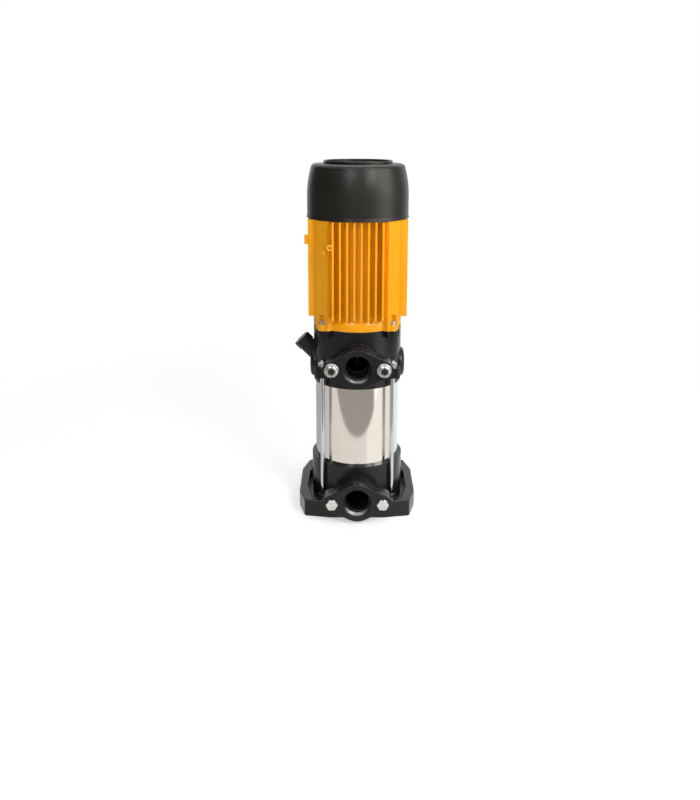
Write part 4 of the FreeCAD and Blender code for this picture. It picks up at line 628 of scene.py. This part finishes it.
def moveMesh(thing, *steps):
    # the place goes into the mesh, so the object stays at the origin
    for step in steps:
        thing.data.transform(step)
    thing.data.update()


faceFront = Matrix.Rotation(math.radians(90), 4, "X")  # turns +Z to -Y


def turned(angle):
    return Matrix.Rotation(math.radians(angle), 4, "Z")


def midHeight(nodeName):
    low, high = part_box(nodeName)
    return (low.z + high.z) / 2


def keep(thing, body, slotName, *nodeNames):
    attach(thing, body)
    if nodeNames:
        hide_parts(*nodeNames)


def setPair(thing, look, finish, seat, height):
    # one copy at each end of a port flange
    bakeTree(thing, cornerTree, {"Spacing X": look["spacing"], "Spacing Y": 0.0,
                                 "Count X": 2, "Count Y": 1, "Finish": finish})
    moveMesh(thing, Matrix.Translation((0.0, seat, height)))


# ---- bolts of the two port flanges

suctionBoltLook = {
    "flats": 0.018, "head": 0.0075, "shank": 0.0058, "reach": 0.027, "spacing": 0.088,
    "turn": 30.0, "steps": 72, "coneAngle": 30.0, "faceShare": 0.94, "bothEnds": False,
    "dish": [(0.60, 0.0), (0.54, 0.0003)],
}
dischargeBoltLook = dict(
    suctionBoltLook, reach=0.0295, dish=[(0.74, 0.0)],
    star={"outer": 0.0064, "inner": 0.0049, "lobes": 6, "depth": 0.0034})
# height of the painted shade disc above the socket floor, and how far its edge stays in from the
# wall
socketShadeLook = {"shadeFill": 0.0004, "shrink": 0.0001}


def makeFlangeBolts(name, nodeName, look):
    finish = finishes["zinc_steel"]
    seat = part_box(nodeName)[0].y + look["head"]
    bolts = plainObject(name, buildBolt(look), finish, sharpAngle)
    moveMesh(bolts, turned(look["turn"]), faceFront)
    setPair(bolts, look, finish, seat, midHeight(nodeName))
    keep(bolts, "pump", "zinc_steel", nodeName)


def makeSocketShade(nodeName, boltLook, look):
    # painted shade: a dark disc in the black rubber finish fills the bottom of the two star
    # sockets
    star, count = boltLook["star"], boltLook["steps"]
    floor = boltLook["head"] - star["depth"]
    wall = starWall(star, count, look["shrink"])
    bm = bmesh.new()
    levels = (floor + look["shrink"], floor + look["shadeFill"])
    skinRings(bm, [ringOf(bm, wall, [level] * count) for level in levels], closed=False)
    shadeFill = plainObject("socketShadeDisc", bm, finishes["rubber"])
    moveMesh(shadeFill, turned(boltLook["turn"]), faceFront)
    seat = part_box(nodeName)[0].y + boltLook["head"]
    setPair(shadeFill, boltLook, finishes["rubber"], seat, midHeight(nodeName))
    keep(shadeFill, "pump", "rubber")


makeFlangeBolts("suctionBoltPair", "suction_bolts", suctionBoltLook)
makeFlangeBolts("dischargeBoltPair", "discharge_bolts", dischargeBoltLook)
makeSocketShade("discharge_bolts", dischargeBoltLook, socketShadeLook)

washerLook = {"bore": 0.0064, "outer": 0.012, "thick": 0.0025, "soft": 0.0005,
              "steps": 72, "spacing": 0.088}


def makeDischargeWashers(nodeName, look):
    finish = finishes["zinc_steel"]
    washers = plainObject("dischargeWasherPair", buildWasher(look), finish)
    moveMesh(washers, faceFront)
    setPair(washers, look, finish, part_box(nodeName)[1].y, midHeight(nodeName))
    keep(washers, "pump", "zinc_steel", nodeName)


makeDischargeWashers("discharge_washers", washerLook)


# ---- threads and cut walls in the port mouths

cutIron = metalFinish("cutIron", dict(
    zincSteelLook, deep=(0.72, 0.70, 0.68), light=(0.86, 0.84, 0.82), rough=(0.24, 0.36)))
darkNeckIron = metalFinish("darkNeckIron", dict(
    zincSteelLook, deep=(0.035, 0.032, 0.029), light=(0.065, 0.060, 0.054), rough=(0.5, 0.6)))
# colour of the painted shade on the mouth walls, and the span of upward facing over which it gives
# way to bare metal
mouthShadeLook = {"colour": (0.030, 0.029, 0.028), "upward": (0.1, 0.75)}


def shadeMouthWalls(material, look):
    # painted shade: the sides and the roof of the mouth are darkened, and only its upward-facing
    # floor shows the bright cut metal
    tree = material.node_tree
    tint = tree.nodes["Principled BSDF"].inputs["Base Color"]
    bare = tint.links[0].from_socket
    unshadedUpward = spread(tree, axesOf(tree, faceNormal(tree))["Z"], *look["upward"])
    join(tree, mixColour(tree, unshadedUpward, look["colour"], bare), tint)


shadeMouthWalls(cutIron, mouthShadeLook)

portThreadLook = {"pitch": 0.0023, "turns": 4.6, "ridge": 0.0009, "steps": 96,
                  "inset": 0.0012, "liner": 0.00035, "gap": 0.00005}
boreSkinLook = {"neckFace": -0.105, "radius": 0.021, "depth": 0.022, "thick": 0.0003,
                "gap": 0.00005, "steps": 96}


def makePortThread(name, mountName, nodeName, look):
    mount = next(m for m in frame["record"]["mounts"] if m["name"] == mountName)
    outer = mount["dims"]["r_mm"] / 1000 - look["gap"]
    depth = look["pitch"] * look["turns"] + look["ridge"]
    thread = plainObject(name, buildTube(outer, look["liner"], depth, look["steps"]), cutIron)
    bakeTree(thread, threadTree, {
        "Radius": outer - look["liner"], "Pitch": look["pitch"], "Turns": look["turns"],
        "Ridge": look["ridge"], "Steps": look["steps"], "Finish": cutIron})
    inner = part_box(nodeName)[1].y - look["inset"]
    moveMesh(thread, faceFront, Matrix.Translation((0.0, inner, midHeight(nodeName))))
    keep(thread, "pump", "casting_black")


def makeBoreSkin(name, nodeName, look):
    # the dark wall and cut face of the neck behind the flange
    tube = buildTube(look["radius"] - look["gap"], look["thick"], -look["depth"], look["steps"])
    skin = plainObject(name, tube, darkNeckIron)
    place = Matrix.Translation((0.0, look["neckFace"], midHeight(nodeName)))
    moveMesh(skin, faceFront, place)
    keep(skin, "pump", "casting_black")


makePortThread("suctionThread", "suction_port", "suction_flange", portThreadLook)
makePortThread("dischargeThread", "discharge_port", "discharge_flange", portThreadLook)
makeBoreSkin("suctionBoreSkin", "suction_flange", boreSkinLook)
makeBoreSkin("dischargeBoreSkin", "discharge_flange", boreSkinLook)


# ---- tie rods and their nuts

tieRodLook = {"radius": 0.004, "core": 0.00345, "pitch": 0.00125, "ridge": 0.00055,
              "threadTop": 0.022, "steps": 40, "threadSteps": 24, "chamfer": 0.0008}
rodLow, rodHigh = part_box("tie_rods")


def setOnRods(thing, finish):
    # one copy on the axis of each rod
    width = 2 * tieRodLook["radius"]
    bakeTree(thing, cornerTree, {
        "Spacing X": rodHigh.x - rodLow.x - width, "Spacing Y": rodHigh.y - rodLow.y - width,
        "Count X": 2, "Count Y": 2, "Finish": finish})


def makeTieRods(look):
    length = rodHigh.z - rodLow.z
    full, core, cut = look["radius"], look["core"], look["chamfer"]
    shoulder = length - look["threadTop"]
    profile = [(full - cut, 0.0), (full, cut), (full, shoulder), (core, shoulder + cut),
               (core, length - cut), (core - cut, length)]
    bm = bmesh.new()
    skinRings(bm, turnedRings(bm, profile, look["steps"]), closed=False)
    rods = plainObject("tieRodSet", bm, rodPolish)
    start = shoulder + 2 * cut
    moveMesh(rods, Matrix.Translation((0.0, 0.0, -start)))
    bakeTree(rods, threadTree, {
        "Radius": core, "Pitch": look["pitch"], "Ridge": look["ridge"],
        "Turns": (look["threadTop"] - 4 * cut) / look["pitch"],
        "Steps": look["threadSteps"], "Finish": rodPolish})
    setOnRods(rods, rodPolish)
    moveMesh(rods, Matrix.Translation((0.0, 0.0, rodLow.z + start)))
    keep(rods, "pump", "zinc_steel", "tie_rods")


tieNutLook = {"flats": 0.013, "height": 0.0065, "bore": 0.0040, "mouthCut": 0.12, "steps": 48,
              "coneAngle": 30.0, "faceShare": 0.95, "bothEnds": True, "turn": 30.0}


def makeTieNuts(nodeName, look):
    finish = finishes["zinc_steel"]
    nuts = plainObject("tieRodNutSet", buildNut(look), finish, sharpAngle)
    moveMesh(nuts, turned(look["turn"]))
    setOnRods(nuts, finish)
    moveMesh(nuts, Matrix.Translation((0.0, 0.0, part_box(nodeName)[0].z)))
    keep(nuts, "pump", "zinc_steel", nodeName)


makeTieRods(tieRodLook)
makeTieNuts("tie_rod_nuts", tieNutLook)
print("stage: fasteners and threads")


# ---- floor, background and light

black, white = (0.0, 0.0, 0.0), (1.0, 1.0, 1.0)


def seenRays(tree):
    # masks of the rays that the viewer sees, directly or through anything, and of mirrored ones
    path = addNode(tree, "ShaderNodeLightPath")
    mirrored = path.outputs["Is Glossy Ray"]
    seen = mathNode(tree, "MAXIMUM", path.outputs["Is Camera Ray"], mirrored)
    return mathNode(tree, "MAXIMUM", seen, path.outputs["Is Transmission Ray"]), mirrored


def glow(tree, colour, strength=1.0, kind="ShaderNodeEmission"):
    node = addNode(tree, kind)
    feed(tree, colour, node.inputs["Color"])
    setInputs(node, Strength=strength)
    return node.outputs[0]


def mixShaders(tree, mask, under, over):
    node = addNode(tree, "ShaderNodeMixShader")
    for index, socket in enumerate((mask, under, over)):
        join(tree, socket, node.inputs[index])
    return node.outputs[0]


floorLook = {"radius": 3.2, "steps": 96, "fade": (0.45, 1.15), "colour": (0.82, 0.82, 0.82),
             "rough": 0.6, "noise": (3.0, 2.0, 0.5), "noiseTone": (0.98, 1.0),
             "lift": 0.42, "drop": 0.0002,
             "sweepFront": 0.42, "sweepSide": 0.85, "sweepBlur": 0.012}
# tone of the white sweep in mirrors, by bearing in degrees from straight ahead, right positive
sweepTones = [
    (-125, (0.42, 0.43, 0.47)), (-85, (0.62, 0.60, 0.59)), (-68, (0.78, 0.74, 0.69)),
    (20, (0.84, 0.81, 0.79)), (28, (1.0, 0.98, 0.92)), (62, (1.0, 0.98, 0.92)),
    (72, (0.88, 0.88, 0.82)), (108, (0.88, 0.88, 0.84)), (128, (0.86, 0.97, 1.0)),
]
# what mirrors see past the sweep: its lit floor lies between two soft bearings in degrees
roomLook = {"tone": (0.36, 0.34, 0.325), "dark": (0.05, 0.05, 0.055),
            "window": (2.1, 2.05, 1.9), "litFloor": (1.4, 1.36, 1.22),
            "litFrom": (42, 50), "litTo": (82, 72)}


def mirrorTint(tree, where, look):
    # in mirrors the white sweep ends a little way off, and the room beyond it is dimmer
    place = axesOf(tree, where)
    toward = mathNode(tree, "MULTIPLY", place["Y"], -1.0)
    bearing = mathNode(tree, "ARCTAN2", place["X"], toward)
    paper = sweepTones[0][1]
    for (start, _), (end, tone) in zip(sweepTones, sweepTones[1:]):
        step = spread(tree, bearing, math.radians(start), math.radians(end))
        paper = mixColour(tree, step, paper, tone)
    front, side, blur = -look["sweepFront"], look["sweepSide"], look["sweepBlur"]
    ahead = spread(tree, place["Y"], front, front - blur)
    aside = spread(tree, mathNode(tree, "ABSOLUTE", place["X"]), side, side + blur)
    beyond = mathNode(tree, "MAXIMUM", ahead, aside)
    rise, fall = (spread(tree, bearing, *map(math.radians, roomLook[edge]))
                  for edge in ("litFrom", "litTo"))
    lit = mathNode(tree, "MULTIPLY", rise, fall)
    room = mixColour(tree, lit, roomLook["tone"], roomLook["litFloor"])
    return mixColour(tree, beyond, paper, room)


def makeFloor(look):
    # pale floor: near the pump it takes the shadow, further out it melts into the white ground
    bm = bmesh.new()
    bmesh.ops.create_circle(bm, cap_ends=True, segments=look["steps"], radius=look["radius"])
    material, tree, shader = startMaterial("studioFloor", Roughness=look["rough"])
    where = ownPlace(tree)
    away = addNode(tree, "ShaderNodeVectorMath", operation="LENGTH")
    join(tree, where, away.inputs[0])
    fade = spread(tree, away.outputs["Value"], *look["fade"])
    shade = spread(tree, noise(tree, where, *look["noise"]), 0.0, 1.0, *look["noiseTone"])
    join(tree, mixColour(tree, shade, black, look["colour"]), shader.inputs["Base Color"])
    seen, mirrored = seenRays(tree)
    raised = addNode(tree, "ShaderNodeAddShader")
    join(tree, shader.outputs["BSDF"], raised.inputs[0])
    join(tree, glow(tree, white, look["lift"]), raised.inputs[1])
    faded = mixShaders(tree, fade, raised.outputs[0], glow(tree, white))
    shown = mixShaders(tree, mirrored, faded, glow(tree, mirrorTint(tree, where, look)))
    byRay = mixShaders(tree, seen, shader.outputs["BSDF"], shown)
    join(tree, byRay, tree.nodes["Material Output"].inputs["Surface"])
    floor = plainObject("studioFloorDisc", bm, material)
    lowest = min(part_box(name)[0].z for name in frame["nodes"])
    moveMesh(floor, Matrix.Translation((0.0, 0.0, lowest - look["drop"])))


wallLook = {"radius": 3.1, "top": 2.4, "from": 135.0, "to": 395.0, "steps": 60,
            "dim": (-2.0, -1.0), "window": (2.15, 2.35), "windowBack": (-0.3, -0.6)}


def makeRoomWall(look):
    # the dim room in front of the pump, which only mirrors see
    bm = bmesh.new()
    columns = []
    for step in range(look["steps"] + 1):
        angle = math.radians(look["from"] + (look["to"] - look["from"]) * step / look["steps"])
        x, y = look["radius"] * math.cos(angle), look["radius"] * math.sin(angle)
        columns.append([bm.verts.new((x, y, z)) for z in (0.0, look["top"])])
    for before, after in zip(columns, columns[1:]):
        bm.faces.new((before[0], before[1], after[1], after[0]))
    material, tree, shader = startMaterial("roomWall")
    tree.nodes.remove(shader)
    place = axesOf(tree, ownPlace(tree))
    dim = spread(tree, place["X"], *look["dim"])
    room = mixColour(tree, dim, roomLook["dark"], roomLook["tone"])
    window = mathNode(tree, "MULTIPLY", spread(tree, place["X"], *look["window"]),
                      spread(tree, place["Y"], *look["windowBack"]))
    lit = glow(tree, mixColour(tree, window, room, roomLook["window"]))
    join(tree, lit, tree.nodes["Material Output"].inputs["Surface"])
    wall = plainObject("roomWallScreen", bm, material)
    for ray in ("camera", "diffuse", "transmission", "volume_scatter", "shadow"):
        setattr(wall, "visible_" + ray, False)


worldLook = {"fill": 0.28, "seen": 1.0}


def makeWorld(look):
    # white to the viewer, and a soft fill for everything else
    world = bpy.data.worlds.new("studioWorld")
    bpy.context.scene.world = world
    world.use_nodes = True
    tree = world.node_tree
    tree.nodes.clear()
    fill, backdrop = (glow(tree, white, look[part], "ShaderNodeBackground")
                      for part in ("fill", "seen"))
    output = addNode(tree, "ShaderNodeOutputWorld")
    seen, _ = seenRays(tree)
    join(tree, mixShaders(tree, seen, fill, backdrop), output.inputs["Surface"])


softBoxes = {
    "keyRight": {"place": (0.86, -1.30, 1.36), "aim": (0.0, 0.0, 0.35), "size": (0.42, 0.85),
                 "watts": 14.0, "colour": (1.0, 0.99, 0.97)},
    "fillLeft": {"place": (-0.47, -1.45, 1.36), "aim": (0.0, 0.0, 0.35), "size": (0.36, 0.75),
                 "watts": 6.5, "colour": (0.98, 0.99, 1.0)},
    "sideRight": {"place": (1.45, -0.70, 0.95), "aim": (0.0, 0.0, 0.35), "size": (0.9, 1.1),
                  "watts": 9.0, "colour": (1.0, 0.99, 0.97)},
    "frontSoft": {"place": (0.0, -2.3, 0.80), "aim": (0.0, 0.0, 0.35), "size": (0.7, 0.7),
                  "watts": 9.0, "colour": white, "mirrored": False},
    "topSoft": {"place": (0.1, 0.5, 1.9), "aim": (0.0, 0.0, 0.3), "size": (1.0, 0.8),
                "watts": 8.0, "colour": white},
}


def makeSoftBox(name, look):
    lamp = bpy.data.lights.new(name, "AREA")
    lamp.shape = "RECTANGLE"
    lamp.size, lamp.size_y = look["size"]
    lamp.energy = look["watts"]
    lamp.color = look["colour"]
    thing = bpy.data.objects.new(name, lamp)
    thing.location = look["place"]
    aim = Vector(look["aim"]) - Vector(look["place"])
    thing.rotation_euler = aim.to_track_quat("-Z", "Y").to_euler()
    thing.visible_camera = False
    thing.visible_glossy = look.get("mirrored", True)
    bpy.context.scene.collection.objects.link(thing)


makeFloor(floorLook)
makeRoomWall(wallLook)
makeWorld(worldLook)
for boxName, boxLook in softBoxes.items():
    makeSoftBox(boxName, boxLook)
print("stage: studio")

cameraLook = {"place": (-0.0118, -1.392, 0.6767), "down": 12.89, "turn": 0.3, "roll": -0.2,
              "lens": 35.98, "sensor": 36.0, "shiftX": -0.0069, "shiftY": -0.115, "near": 0.01}


def makeCamera(look):
    lens = bpy.data.cameras.new("photoCamera")
    lens.sensor_width = look["sensor"]
    lens.lens = look["lens"]
    lens.shift_x = look["shiftX"]
    lens.shift_y = look["shiftY"]
    lens.clip_start = look["near"]
    thing = bpy.data.objects.new("photoCamera", lens)
    thing.location = look["place"]
    angles = (90.0 - look["down"], look["roll"], -look["turn"])
    thing.rotation_euler = [math.radians(angle) for angle in angles]
    bpy.context.scene.collection.objects.link(thing)
    bpy.context.scene.camera = thing


makeCamera(cameraLook)
bpy.context.scene.view_settings.view_transform = "Standard"
print("stage: camera")
